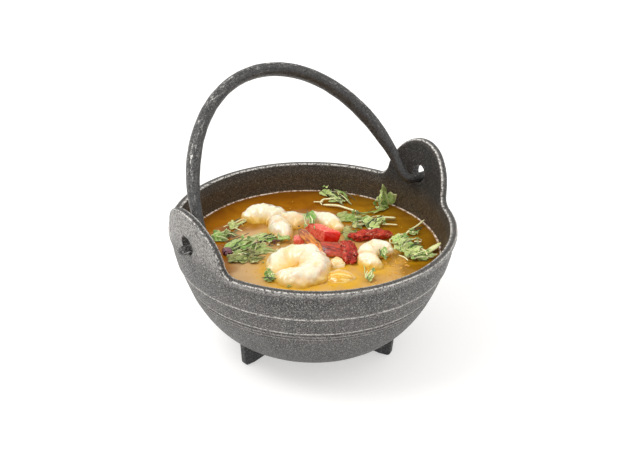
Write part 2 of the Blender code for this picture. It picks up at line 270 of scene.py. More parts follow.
def iron_look(name, base, worn, inner=(0.022, 0.020, 0.018), stained=(0.054, 0.032, 0.011)):
    """Sand-cast iron: fine bright grain, patchy, worn bright on its edges and ring lines, partly as painted
    highlight, darker inside, stained brown by the broth, and darker towards the bottom outside as painted shade."""
    look = Look(name, Specular_IOR_Level=0.5)
    grain = look.range(look.noise(0.75, detail=3, roughness=0.7), 0.40, 0.60)
    patches = look.range(look.noise(16, detail=3), 0.35, 0.75, 0.0, 0.3)
    specks = look.range(look.noise(0.75, detail=1, roughness=0.5), 0.60, 0.70)
    inner = look.mix(look.value("stain"), inner, stained)
    skins = []
    for color, low, shine in ((base, 0.24, 0.40), (inner, 0.20, 0.11)):
        skin = look.mix(grain, look.mix(low, (0, 0, 0), color), look.mix(0.9, (0, 0, 0), color))
        skin = look.mix(look.math("MULTIPLY", grain, 0.5), skin, look.mix(1.0, color, color, "ADD"))
        skin = look.mix(patches, skin, look.mix(0.5, color, color, "ADD"))
        skins.append(look.mix(look.math("MULTIPLY", specks, shine), skin, scaled(worn, 0.75)))
    color = look.mix(look.value("inside"), *skins)
    # bright rubbed lines: partly real wear, partly painted highlight
    scratches = look.range(look.noise(1.3, detail=6, roughness=0.75), 0.44, 0.52)
    rubbed_and_sheen = look.math("MULTIPLY", look.value("wear_and_sheen"), scratches)
    # painted shade: the outside is darkened towards the bottom, where little light reaches
    color = look.mix(look.math("MULTIPLY", look.value("painted_low_shade"), 0.55), color, (0.02, 0.019, 0.018))
    color = look.mix(rubbed_and_sheen, color, worn)
    look.set("Base Color", color)
    look.set("Metallic", look.math("MULTIPLY", rubbed_and_sheen, 0.5))
    look.set("Roughness", look.range(grain, 0.0, 1.0, 0.62, 0.36))
    rough = look.bump(look.noise(1.0, detail=4, roughness=0.7), 0.45)
    look.set("Normal", look.bump(look.noise(7, detail=2), 0.5, rough))
    return look.material


def bail_look():
    """Forged iron: dark scale with a fine grain, lighter on the outside of the arch as painted light, with painted
    glints there, and bright in thin streaks along the rod, partly rubbing and partly painted highlight on that side."""
    look = Look("forged_iron", Specular_IOR_Level=0.6)
    place = look.add("Attribute", attribute_name="course").outputs["Vector"]
    grain = look.range(look.noise(1.2, detail=4, roughness=0.75), 0.38, 0.62)
    streaks = look.noise(1.7, detail=6, roughness=0.75, stretch=(0.3, 1.0, 1.0), place=place)
    dark = look.mix(grain, (0.006, 0.006, 0.007), (0.045, 0.043, 0.041))
    light = look.mix(grain, (0.004, 0.004, 0.005), (0.050, 0.049, 0.047))
    # painted light: the light colour on the outside of the arch, the side that faces the light, the dark one on the
    # inside, in shade
    color = look.mix(look.value("outer"), dark, light)
    # bright streaks: partly rubbing on the edges and tips, partly painted highlight on the lit side
    rubbed_and_sheen = look.math("MULTIPLY", look.value("wear_and_sheen"), look.range(streaks, 0.55, 0.63))
    # painted glints, on the lit side only
    painted_glints = look.range(look.noise(1.0, detail=2, roughness=0.6), 0.58, 0.66, 0.0, 0.55)
    color = look.mix(look.math("MULTIPLY", painted_glints, look.value("outer")), color, (0.40, 0.38, 0.36))
    color = look.mix(rubbed_and_sheen, color, (0.70, 0.67, 0.63))
    look.set("Base Color", color)
    look.set("Metallic", look.math("MULTIPLY", rubbed_and_sheen, 0.6))
    look.set("Roughness", look.range(grain, 0.0, 1.0, 0.48, 0.32))
    coarse = look.bump(look.noise(3.5, detail=3, stretch=(0.35, 1.0, 1.0), place=place), 0.7)
    look.set("Normal", look.bump(look.noise(1.2, detail=4, roughness=0.7), 0.3, coarse))
    return look.material


def broth_look():
    """Broth: deep clear amber, milky where fat is stirred in, yellow over sunk pieces, darker near the wall as
    painted shade and reflection of the iron.
    """
    look = Look("broth", Roughness=0.07, IOR=1.34, Specular_IOR_Level=0.22)
    swirl = look.noise(15, detail=4, distortion=0.6)
    fine = look.noise(9, detail=3, roughness=0.5)
    brown = look.mix(look.range(swirl, 0.35, 0.75), (0.29, 0.092, 0.0020), (0.42, 0.155, 0.0040))
    gold = look.mix(look.range(swirl, 0.35, 0.75), (0.33, 0.145, 0.003), (0.50, 0.245, 0.007))
    deep = look.mix(look.value("gold"), brown, gold)
    # painted shade and reflection of the iron: the broth darkens near the wall
    deep = look.mix(look.math("MULTIPLY", look.value("edge"), 0.85), deep, (0.10, 0.033, 0.002))
    peach = look.mix(look.range(fine, 0.3, 0.7), (0.59, 0.36, 0.16), (0.65, 0.41, 0.185))
    orange = look.mix(look.range(fine, 0.3, 0.7), (0.56, 0.305, 0.080), (0.64, 0.375, 0.115))
    milky = look.mix(look.value("gold"), peach, orange)
    cloud = look.math("ADD", look.value("cloud"), look.range(swirl, 0.3, 0.7, -0.12, 0.12))
    color = look.mix(look.range(cloud, 0.15, 0.85), deep, milky)
    oil = look.math("MULTIPLY", look.value("shallow"), look.range(look.noise(5, detail=3), 0.25, 0.6, 0.45, 1.0))
    color = look.mix(oil, color, (0.71, 0.39, 0.026))
    bubbles = look.range(look.noise(1.8, detail=4, roughness=0.75), 0.42, 0.56, 0.1, 1.0)
    foam = look.math("MULTIPLY", look.value("foam"), bubbles)
    color = look.mix(foam, color, (0.86, 0.72, 0.60))
    look.set("Base Color", color)
    look.set("Normal", look.bump(look.noise(9, detail=2), 0.25))
    return look.material


def prawn_look():
    """Wet cooked prawn flesh: cream, a pink blush over the back, yellow and orange in the creases and orange on
    the inside of the curl, partly its own colour and partly painted shade, and yellow at the broth.
    """
    look = Look("prawn_flesh", Roughness=0.24, Subsurface_Weight=0.2, Subsurface_Scale=0.003,
                Coat_Weight=0.45, Coat_Roughness=0.1)
    look.set("Subsurface Radius", (1.0, 0.6, 0.35))
    fibre = look.noise(1.6, detail=5, roughness=0.6)
    patches = look.noise(5, detail=4, roughness=0.6)
    color = look.mix(look.range(fibre, 0.3, 0.7), (0.94, 0.81, 0.55), (0.99, 0.94, 0.79))
    tints = look.mix(look.range(patches, 0.42, 0.58), (0.72, 0.66, 0.26), (0.93, 0.50, 0.22))
    blush = look.math("MULTIPLY", look.value("back"), look.range(patches, 0.47, 0.60))
    color = look.mix(look.math("MULTIPLY", blush, 0.5), color, (0.95, 0.60, 0.42))
    # crease tint: partly the flesh's own segment lines, partly painted shade in the creases
    color = look.mix(look.math("MULTIPLY", look.value("crease"), 0.65), color, tints)
    color = look.mix(look.range(look.noise(3.6, detail=3), 0.52, 0.72, 0.0, 0.4), color, (0.93, 0.80, 0.42))
    # inside of the curl: partly the flesh's own colour, partly painted shade in the curl's hollow
    color = look.mix(look.math("MULTIPLY", look.value("belly_and_hollow_shade"), 0.85), color, (0.88, 0.54, 0.16))
    color = look.mix(look.math("MULTIPLY", look.value("low"), 0.95), color, (0.88, 0.55, 0.06))
    look.set("Base Color", color)
    look.set("Normal", look.bump(look.noise(1.1, detail=5), 0.15))
    return look.material


def flesh_look(name, low, high, rough=0.25, size=1.5, bump=0.15, coat=0.5):
    """Wet vegetable flesh with a fine grain."""
    look = Look(name, Roughness=rough, Coat_Weight=coat, Coat_Roughness=0.08,
                Subsurface_Weight=0.1, Subsurface_Scale=0.002)
    look.set("Base Color", look.mix(look.range(look.noise(size, detail=4), 0.3, 0.7), low, high))
    if bump:
        look.set("Normal", look.bump(look.noise(0.8, detail=4), bump))
    return look.material


def pepper_look(name, low, high, dark):
    """Thin wet pepper skin: streaked along, darker on its edges and at its far tip."""
    look = Look(name, Roughness=0.25, Coat_Weight=0.35, Coat_Roughness=0.08)
    course = look.add("Attribute", attribute_name="course").outputs["Vector"]
    streaks = look.noise(1.8, detail=4, roughness=0.6, stretch=(0.2, 1, 1), distortion=0.6, place=course)
    color = look.mix(look.range(streaks, 0.38, 0.62), low, high)
    color = look.mix(look.math("MULTIPLY", look.value("edge"), 0.7), color, dark)
    color = look.mix(look.value("end"), color, (0.02, 0.008, 0.004))
    look.set("Base Color", color)
    look.set("Normal", look.bump(streaks, 0.4))
    return look.material


def petal_look():
    """Translucent onion petal: amber, with cream veins along it and a pale rim."""
    look = Look("onion_petal", Roughness=0.2, Coat_Weight=0.5, Coat_Roughness=0.06, Subsurface_Weight=0.15,
                Subsurface_Scale=0.002)
    course = look.add("Attribute", attribute_name="course").outputs["Vector"]
    veins = look.noise(1.5, detail=4, roughness=0.6, stretch=(0.16, 1, 1), distortion=0.4, place=course)
    hollow = look.mix(look.range(veins, 0.48, 0.60), (0.80, 0.42, 0.02), (0.92, 0.68, 0.20))
    rim = look.mix(look.range(veins, 0.35, 0.6), (0.82, 0.52, 0.14), (0.93, 0.78, 0.46))
    look.set("Base Color", look.mix(look.value("rim"), hollow, rim))
    look.set("Normal", look.bump(veins, 0.35))
    return look.material


def tomato_look():
    """Deep red on the skin side, paler wet flesh on the cut faces."""
    look = Look("tomato_red", Roughness=0.22, Coat_Weight=0.2, Coat_Roughness=0.06,
                Subsurface_Weight=0.1, Subsurface_Scale=0.002)
    grain = look.noise(1.2, detail=4)
    flesh = look.mix(look.range(grain, 0.3, 0.7), (0.80, 0.065, 0.042), (0.92, 0.25, 0.16))
    skin = look.mix(look.range(look.noise(5, detail=3), 0.3, 0.7), (0.58, 0.006, 0.003), (0.82, 0.032, 0.012))
    look.set("Base Color", look.mix(look.value("skin"), flesh, skin))
    look.set("Normal", look.bump(grain, 0.12))
    return look.material


def chilli_look():
    """Wrinkled dried chilli skin, wet: near black in its furrows and pale red on its long ridges, partly its own
    colour and partly painted shade and highlight, with painted wet glints.
    """
    look = Look("dried_chilli", Roughness=0.34, Specular_IOR_Level=0.2, Coat_Weight=0.15, Coat_Roughness=0.08)
    course = look.add("Attribute", attribute_name="course").outputs["Vector"]
    wrinkles = look.noise(1.9, detail=5, roughness=0.65, stretch=(0.45, 1, 1), distortion=1.2, place=course)
    patches = look.range(look.noise(4.0, detail=3), 0.35, 0.65)
    dark = look.mix(patches, (0.07, 0.003, 0.002), (0.17, 0.006, 0.004))
    bright = look.mix(patches, (0.42, 0.016, 0.007), (0.66, 0.06, 0.025))
    # colour follows the wrinkles' relief: partly the skin's own colour, partly painted shade in furrows and highlight
    # on ridges
    color = look.mix(look.range(wrinkles, 0.34, 0.56), dark, bright)
    # painted shade: darker still in the furrows of the folds
    color = look.mix(look.range(look.value("fold"), 0.45, 0.1, 0.0, 0.5), color, (0.07, 0.002, 0.002))
    # painted wet glints
    painted_glints = look.range(look.noise(2.2, detail=4, roughness=0.65, stretch=(0.22, 1, 1), distortion=1.4, place=course),
                        0.57, 0.64)
    color = look.mix(look.math("MULTIPLY", painted_glints, 0.75), color, (0.86, 0.40, 0.25))
    look.set("Base Color", color)
    look.set("Normal", look.bump(wrinkles, 0.7))
    return look.material


def toned(look, stops):
    """A colour that runs through three stops as the value called tone goes from 0 to 1."""
    tone = look.value("tone")
    color = look.mix(look.range(tone, 0.0, 0.5), stops[0], stops[1])
    return look.mix(look.range(tone, 0.5, 1.0), color, stops[2])


def leaf_look():
    """Chopped coriander: dark, fresh or pale green, partly its own colour and partly painted shade and highlight,
    cream on its veins and cut edges, the edges partly painted highlight, dulled where it is sunk.
    """
    look = Look("coriander", Roughness=0.42, Specular_IOR_Level=0.35, Coat_Weight=0.12, Coat_Roughness=0.12)
    # the tone's dark and pale ends: partly the leaves' own colour, partly painted shade and highlight
    color = toned(look, ((0.020, 0.052, 0.006), (0.20, 0.42, 0.055), (0.60, 0.72, 0.24)))
    grain = look.noise(1.6, detail=4, roughness=0.65)
    color = look.mix(look.range(grain, 0.52, 0.62, 0.0, 0.75), color, (0.022, 0.055, 0.008))
    color = look.mix(look.math("MULTIPLY", look.value("vein"), 0.55), color, (0.60, 0.62, 0.30))
    # pale cut edges: partly the leaf's own colour, partly painted highlight
    cut_edge_and_highlight = look.math("MULTIPLY", look.value("edge"), look.range(look.noise(3.0, detail=2), 0.4, 0.6, 0.1, 0.95))
    color = look.mix(cut_edge_and_highlight, color, (0.74, 0.72, 0.38))
    color = look.mix(look.value("sunk"), color, (0.46, 0.36, 0.14))
    look.set("Base Color", color)
    look.set("Normal", look.bump(grain, 0.3))
    return look.material


def strand_look():
    """Shredded stems: dark green to cream by tone."""
    look = Look("shreds", Roughness=0.35, Coat_Weight=0.4, Coat_Roughness=0.1)
    color = toned(look, ((0.025, 0.04, 0.010), (0.30, 0.42, 0.07), (0.96, 0.90, 0.52)))
    look.set("Base Color", look.mix(look.range(look.noise(2.0, detail=3), 0.5, 0.8, 0.0, 0.3), color, (0.50, 0.50, 0.16)))
    return look.material


def bit_look():
    """Seeds and scraps: near black, dark red or cream by tone."""
    look = Look("bits", Roughness=0.4, Coat_Weight=0.3, Coat_Roughness=0.1)
    color = toned(look, ((0.018, 0.014, 0.008), (0.12, 0.006, 0.008), (0.88, 0.80, 0.52)))
    look.set("Base Color", look.mix(look.range(look.noise(0.9, detail=2), 0.5, 0.7, 0.0, 0.4), color, (0.20, 0.14, 0.06)))
    return look.material


# -------------------------------------------------------------------- pot

def bowl_radius(z, top_radius, depth):
    drop = np.clip((RIM_Z - z) / depth, 0.0, 1.0)
    return top_radius * (1.0 - drop ** WALL_DROP) ** (1.0 / WALL_SQUARENESS)


def outer_radius(z):
    return bowl_radius(z, WALL_RADIUS, BOWL_DEPTH)


def inner_radius(z):
    return bowl_radius(z, WALL_RADIUS - IRON, BOWL_DEPTH - IRON)


def bowl_height(radius, top_radius, depth):
    return RIM_Z - depth * (1.0 - (radius / top_radius) ** WALL_SQUARENESS) ** (1.0 / WALL_DROP)


def ear_outline():
    """Angles round the pot from an ear's middle to the front, the ear's height over the
    rim there, and the outline's normal as (along the rim, up)."""
    ellipse_end = asin(EAR_SHOULDER / EAR_HALF_WIDTH)
    turns = np.linspace(0, ellipse_end, 30)
    run = EAR_HALF_WIDTH * np.sin(turns)
    height = EAR_HEIGHT * np.cos(turns)
    fillet = np.linspace(pi / 2, 0, 12)[1:]
    run = np.append(run, EAR_ROOT - (EAR_ROOT - EAR_SHOULDER) * np.sin(fillet))
    height = np.append(height, EAR_HEIGHT * cos(ellipse_end) * (1 - np.cos(fillet)))
    angle = np.arcsin(run / WALL_RADIUS)
    rest = np.linspace(angle[-1], pi / 2, 62)[1:]
    angle = np.append(angle, rest)
    height = np.append(height, np.zeros(len(rest)))
    along, up = np.gradient(angle * WALL_RADIUS), np.gradient(height)
    length = np.hypot(along, up)
    return angle, height, -up / length, along / length


def round_the_pot(quarter, sign=1.0):
    """A value known over a quarter turn, for all columns. sign is -1 where it changes
    sign from one side of an ear to the other."""
    half = np.append(quarter, sign * quarter[-2::-1])
    return np.append(half, sign * half[-2:0:-1])


def pot_columns():
    angle, height, normal_along, normal_up = ear_outline()
    half = np.append(angle, pi - angle[-2::-1])
    angles = np.append(half, -half[-2:0:-1])
    return angles, round_the_pot(height), round_the_pot(normal_along, -1.0), round_the_pot(normal_up)


def pot_rows():
    """Rows of the pot's skin, from the underside up over the rim and down to the inner
    floor, each as (angle, radius, z, wear, inside) arrays."""
    angle, ear, normal_along, normal_up = pot_columns()
    one = np.ones(len(angle))
    plain = 1.0 - smooth(ear / EAR_BLEND)
    pad = EAR_PAD * (1.0 - plain)
    top = RIM_Z + ear
    rows = []

    def add(radius, z, wear_and_sheen=0.0, inset=0.0, inside=0.0):
        rows.append((angle - inset * normal_along / WALL_RADIUS, radius * one, z * one, wear_and_sheen * one, inside * one))

    for share in (0.05, 0.35, 0.7, 0.93):
        add(share * outer_radius(BOTTOM_Z), BOTTOM_Z)
    coarse = np.linspace(BOTTOM_Z, 43 * MM, 24)
    fine = np.linspace(43 * MM, 52.5 * MM, 26)[1:]
    upper = np.linspace(52.5 * MM, RING_Z, 7)[1:]
    for z in [*coarse, *fine, *upper]:
        cut = sum(depth * np.exp(-((z - at) / half) ** 2) for at, depth, half in GROOVES)
        # a thin bright line over each groove's upper edge: partly wear, partly painted highlight
        ridge = sum(depth * np.exp(-((z - at - 1.5 * half) / (0.6 * half)) ** 2) for at, depth, half in GROOVES)
        add(outer_radius(z) - cut, z, wear_and_sheen=ridge / (0.7 * MM))
    # the ring step's top edge is bright: partly wear, partly painted highlight
    for share in (0.3, 0.7, 1.0):
        z = RING_Z + share * BAND
        add(outer_radius(z) + smooth(share) * (BAND + 0.5 * pad), z, wear_and_sheen=0.9 * share)
    under_lip = RIM_Z - LIP_HEIGHT
    for share in np.linspace(0, 1, 12)[1:]:
        z = RING_Z + BAND + share * (under_lip - RING_Z - BAND)
        band = BAND * (1.0 - plain * smooth((share - 0.55) / 0.45))
        add(outer_radius(z) + band + pad * (0.5 + 0.5 * share), z, wear_and_sheen=0.5 * (1 - smooth(share / 0.1)))
    crest = top - EDGE_ROUND * normal_up
    for share in np.linspace(0, 1, 16)[1:]:
        z = under_lip + share * (crest - under_lip)
        down = (RIM_Z - z) / LIP_HEIGHT
        bead = BEAD * np.sqrt(np.clip(1.0 - ((down - 0.45) / 0.56) ** 2, 0.0, 1.0))
        face = WALL_RADIUS + BAND + pad + EAR_FLARE * np.clip(z - RIM_Z + 2 * MM, 0, 1)
        add(plain * (WALL_RADIUS + bead) + (1 - plain) * face, z, inset=share * EDGE_ROUND,
            wear_and_sheen=0.25 * plain * smooth((share - 0.2) / 0.5) + 0.3 * (1 - plain) * smooth(share / 0.6))
    flare = EAR_FLARE * np.clip(crest - RIM_Z + 2 * MM, 0, 1)
    lean = EAR_FLARE * ear
    face = plain * (WALL_RADIUS + 0.93 * BEAD) + (1 - plain) * (WALL_RADIUS + BAND + pad + flare)
    inner_face = WALL_RADIUS - RIM_IRON + lean
    for turn in np.linspace(0, pi, 17)[1:]:
        inset = EDGE_ROUND * (1 - sin(turn) ** 0.8)
        middle, half = (face + inner_face) / 2, (face - inner_face) / 2
        # bright lines on the rim's outer and inner edges: partly wear, partly painted highlight
        worn = max(0.9 * np.exp(-((turn - 0.5) / 0.30) ** 2), np.exp(-((turn - 2.45) / 0.42) ** 2))
        add(middle + half * cos(turn), top - inset * normal_up, inset=inset, wear_and_sheen=worn, inside=0.7 * smooth(turn / 0.9) + 0.3 * smooth((turn - 2.2) / 0.6))
    for share in np.linspace(0, 1, 14)[1:]:
        z = crest + share * (INNER_BEND_Z - crest)
        radius = inner_face + share * (inner_radius(INNER_BEND_Z) - inner_face)
        add(radius, z, inset=(1 - share) * EDGE_ROUND, inside=1.0)
    for z in np.linspace(INNER_BEND_Z, BOWL_FLOOR_Z, 26)[1:]:
        add(inner_radius(z), z, inside=1.0)
    for share in (0.9, 0.6, 0.3, 0.05):
        add(share * inner_radius(BOWL_FLOOR_Z), BOWL_FLOOR_Z, inside=1.0)
    return rows


def pot():
    rows = pot_rows()
    angle, radius, z, wear_and_sheen, inside = (np.concatenate(column) for column in zip(*rows))
    points = np.stack([radius * np.cos(angle), radius * np.sin(angle), z], axis=1)
    wave = 0.14 * MM * lumps(points, 13 * MM) + 0.07 * MM * lumps(points, 4 * MM, 5.0)
    points[:, 0] += wave * np.cos(angle)
    points[:, 1] += wave * np.sin(angle)
    look = iron_look("cast_iron", (0.088, 0.084, 0.080), (0.82, 0.79, 0.74))
    stain = smooth((RIM_Z + 4 * MM - z) / (14 * MM))
    # painted shade: darker towards the bottom of the outside
    painted_low_shade = smooth((58 * MM - z) / (50 * MM)) * (1.0 - inside)
    made = piece("pot_casting", points, capped_faces(len(rows), len(rows[0][0])), look, nodes=["pot"],
                 values={"wear_and_sheen": wear_and_sheen, "inside": inside, "stain": stain, "painted_low_shade": painted_low_shade})
    drill_ears(made)
    return made


def drill_ears(casting):
    bpy.ops.mesh.primitive_cylinder_add(vertices=48, radius=HOLE_RADIUS, depth=2.4 * WALL_RADIUS,
                                        location=(0, 0, HOLE_Z), rotation=(0, pi / 2, 0))
    drill = bpy.context.object
    cut = casting.modifiers.new("holes", "BOOLEAN")
    cut.object = drill
    cut.operation = "DIFFERENCE"
    cut.solver = "EXACT"
    apply_modifiers(casting)
    bpy.data.objects.remove(drill)


def feet():
    """Three fins with rounded edges, their tops buried in the bowl's iron."""
    corner = [(FOOT_OUTER - FOOT_CORNER * (1 - cos(a)), FOOT_CORNER * (1 - sin(a)))
              for a in np.linspace(0, pi / 2, 7)]
    top = []
    for radius in np.linspace(FOOT_INNER, FOOT_OUTER + 1.5 * MM, 16):
        outside = max(bowl_height(radius, WALL_RADIUS, BOWL_DEPTH), BOTTOM_Z)
        inside = max(bowl_height(radius, WALL_RADIUS - IRON, BOWL_DEPTH - IRON), BOWL_FLOOR_Z)
        top.append((radius, (outside + inside) / 2))
    outline = corner + [(FOOT_FLAT, 0.0), (FOOT_INNER, BOTTOM_Z - 0.5 * MM)] + top
    points = []
    faces = []
    for angle in FOOT_ANGLES:
        turn = Matrix.Rotation(angle, 3, "Z")
        start = len(points)
        for y in (-FOOT_THICKNESS / 2, FOOT_THICKNESS / 2):
            points += [turn @ Vector((r, y, z)) for r, z in outline]
        count = len(outline)
        faces += [tuple(start + k for k in face) for face in capped_faces(2, count)]
    # the feet's iron is painted much darker than the bowl's: painted shade for the shadow under the pot
    look = iron_look("foot_iron_painted_shade", (0.021, 0.021, 0.022), (0.30, 0.29, 0.27))
    made = piece("pot_feet", points, faces, look, nodes=["pot"])
    made.data.shade_flat()
    bevel = made.modifiers.new("rounding", "BEVEL")
    bevel.width = 0.7 * MM
    bevel.segments = 3
    bevel.limit_method = "ANGLE"
    bevel.angle_limit = radians(50)
    return made


# ------------------------------------------------------------------- bail

def half_bail(reach):
    """(x, height) points of the bail's own plane from the tip to the crown."""
    bend_x = BAIL_HALF_SPAN + BAIL_BEND
    tip = [(x, 0.0) for x in np.linspace(reach, bend_x, 14)]
    bend = [(bend_x - BAIL_BEND * sin(a), BAIL_BEND * (1 - cos(a))) for a in np.linspace(0.1, pi / 2, 12)]
    start = asin(BAIL_BEND / BAIL_RISE)
    arch = [(BAIL_HALF_SPAN * cos(a), BAIL_RISE * sin(a)) for a in np.linspace(start, pi / 2, 110)[1:]]
    return [(x, 0.0, z) for x, z in tip + bend + arch]


def bail():
    right = half_bail(BAIL_REACH - BAIL_SLIP)
    left = half_bail(BAIL_REACH + BAIL_SLIP)
    path = np.array(right + [(-x, 0.0, z) for x, _, z in reversed(left[:-1])])
    path[:, 0] += BAIL_SLIP + BAIL_SWAY * smooth(path[:, 2] / BAIL_RISE)
    steps = np.linalg.norm(np.diff(path, axis=0), axis=1)
    course = np.append(0.0, np.cumsum(steps))
    from_tip = np.minimum(course, course[-1] - course)
    grown = smooth((from_tip - TAPER_START) / TAPER_LENGTH)
    blunt = np.sqrt(np.minimum(1.0, 0.3 + from_tip / ROD_RADIUS))
    hammered = 1.0 + 0.05 * lumps(np.stack([course, 0 * course, 0 * course], 1), 11 * MM, 3.0)
    depth = (ROD_RADIUS + (GRIP_HALF_DEPTH - ROD_RADIUS) * grown) * blunt * hammered
    width = (ROD_RADIUS + (GRIP_HALF_WIDTH - ROD_RADIUS) * grown) * blunt
    sides = 28
    points, turns = rings_along(path, depth, width, (0, 1, 0), sides, square=2.3)
    along = np.repeat(course, sides)
    wave = lumps(points, 6 * MM, 8.0)
    middle = np.repeat(path, sides, axis=0)
    points = middle + (points - middle) * (1.0 + 0.035 * wave)[:, None]
    ridges = np.exp(-((np.abs(np.sin(2 * turns)) - 1.0) / 0.35) ** 2)
    at_tip = np.repeat(1.0 - smooth((from_tip - 5 * MM) / (6 * MM)), sides)
    # painted lit side: the outside of the arch, strongest up high, weaker on the lower arms, full at the tips
    outer = smooth(0.5 - 0.6 * np.cos(turns) + 0.25 * lumps(points, 14 * MM, 2.0))
    outer *= 0.4 + 0.6 * smooth((points[:, 2] - 25 * MM) / (35 * MM))
    # bright streaks: painted highlight on the lit side, with real wear on the section's edges and at the tips
    wear_and_sheen = np.maximum(outer * (0.45 + 0.55 * ridges), at_tip)
    outer = np.maximum(outer, at_tip)
    made = piece("bail_rod", points, capped_faces(len(path), sides), bail_look(), body=BAIL, nodes=["bail"],
                 values={"wear_and_sheen": wear_and_sheen, "outer": outer})
    hold_course(made, np.stack([along, np.cos(turns) * 4 * MM, np.sin(turns) * 4 * MM], axis=1))
    turn = Matrix.Translation(PIVOT) @ Matrix.Rotation(-BAIL_LEAN, 4, "X")
    made.data.transform(turn)
    return made


# --------------------------------------------------------------- toppings

def place(x, y, z, tilt=0.0, roll=0.0, turn=0.0, spin=0.0):
    """Placement with the middle at (x, y, z) in millimetres and angles in degrees. spin turns
    the piece in its own plane before anything else does."""
    turned = Euler((radians(tilt), radians(roll), radians(turn))).to_matrix().to_4x4()
    return Matrix.Translation(Vector((x, y, z)) * MM) @ turned @ Matrix.Rotation(radians(spin), 4, "Z")


def moved(where, points):
    turn = np.array(where)
    return np.asarray(points) @ turn[:3, :3].T + turn[:3, 3]


def prawn(name, where, curl_radius, girth, sweep, closing=0.25, segments=4, fill=0.3, tail=0.42):
    """A peeled curled prawn, thick end first: swelling segments with soft creases between them.
    fill stretches its inner side towards the middle of the curl."""
    stations, sides = 150, 44
    t = np.linspace(0, 1, stations)
    radius = curl_radius * (1.0 - closing * t) * MM
    angle = radians(sweep) * t
    path = np.stack([radius * np.cos(angle), radius * np.sin(angle), 0 * t], axis=1)
    taper = 0.86 + 0.14 * smooth(t / 0.25) - tail * smooth((t - 0.45) / 0.55)
    ends = np.clip(1.0 - (1.0 - np.minimum(1.0, 9.0 * np.minimum(t, 1.0 - t))) ** 2, 0.01, 1) ** 0.5
    size = girth * MM * taper * ends
    points, turns = rings_along(path, size, 0.98 * size, (0, 0, 1), sides)
    along, middle, thick = (np.repeat(v, sides, axis=0) for v in (t, path, size))
    inward = np.clip(-np.cos(turns), 0, 1)
    seed = curl_radius + sweep
    skew = 0.05 * np.cos(turns) + 0.04 * np.sin(2 * turns) + 0.035 * np.sin(9.0 * along + seed)
    phase = (segments * (along + skew) + 0.35) % 1.0
    valley = 1.0 - np.sin(pi * phase ** 0.85) ** 0.45
    valley *= smooth(0.45 + 1.5 * lumps(points, 8 * MM, seed + 4)) * (along > 0.05) * (along < 0.95)
    uneven = 1.0 + 0.05 * np.sin(7.0 * np.floor(segments * (along + skew) + 0.35) + girth)
    lump = 0.19 * lumps(points, 7 * MM, seed) + 0.09 * lumps(points, 3 * MM, seed)
    points = middle + (points - middle) * (uneven + lump - 0.15 * valley)[:, None]
    hollow = np.linalg.norm(middle, axis=1) - thick
    centre = middle / np.linalg.norm(middle, axis=1)[:, None]
    points -= centre * (fill * inward ** 1.5 * hollow)[:, None]
    points[:, 2] *= 1.0 - 0.5 * fill * inward ** 2
    points = moved(where, points)
    low = 1.0 - smooth((points[:, 2] - SOUP_Z - 0.4 * MM + 1.5 * MM * lumps(points, 5 * MM, seed)) / (6.5 * MM))
    # the crease and inner-curl values carry painted shade along with the flesh's own colour
    return piece(name, points, capped_faces(stations, sides), LOOKS["prawn"], nodes=[name],
                 values={"crease": smooth(2.2 * valley), "back": smooth(np.cos(turns) / 0.7), "low": low,
                         "belly_and_hollow_shade": inward * fill})


def chunk(name, where, corners, rounding, skin_side):
    """A cut block of tomato: the hull of a few corners in millimetres, with rounded edges and
    a wet uneven surface, red on the side that faces skin_side."""
    block = bmesh.new()
    for corner in corners:
        block.verts.new(Vector(corner) * MM)
    bmesh.ops.convex_hull(block, input=block.verts)
    bmesh.ops.dissolve_limit(block, angle_limit=radians(8), verts=block.verts, edges=block.edges)
    bmesh.ops.bevel(block, geom=block.edges[:], offset=rounding * MM, segments=3, affect="EDGES", profile=0.5)
    bmesh.ops.triangulate(block, faces=block.faces)
    for _ in range(2):
        bmesh.ops.subdivide_edges(block, edges=block.edges, cuts=1, use_grid_fill=True)
    for _ in range(2):
        bmesh.ops.smooth_vert(block, verts=block.verts, factor=0.5, use_axis_x=True, use_axis_y=True,
                              use_axis_z=True)
    block.normal_update()
    points = np.array([v.co for v in block.verts])
    normals = np.array([v.normal for v in block.verts])
    faces = [tuple(v.index for v in face.verts) for face in block.faces]
    block.free()
    points += normals * (0.55 * MM * lumps(points, 4.2 * MM) + 0.15 * MM * lumps(points, 1.3 * MM))[:, None]
    skin = smooth((normals @ np.array(Vector(skin_side).normalized()) - 0.45) / 0.35)
    return piece(name, moved(where, points), faces, LOOKS["tomato"], nodes=[name],
                 values={"skin": skin})


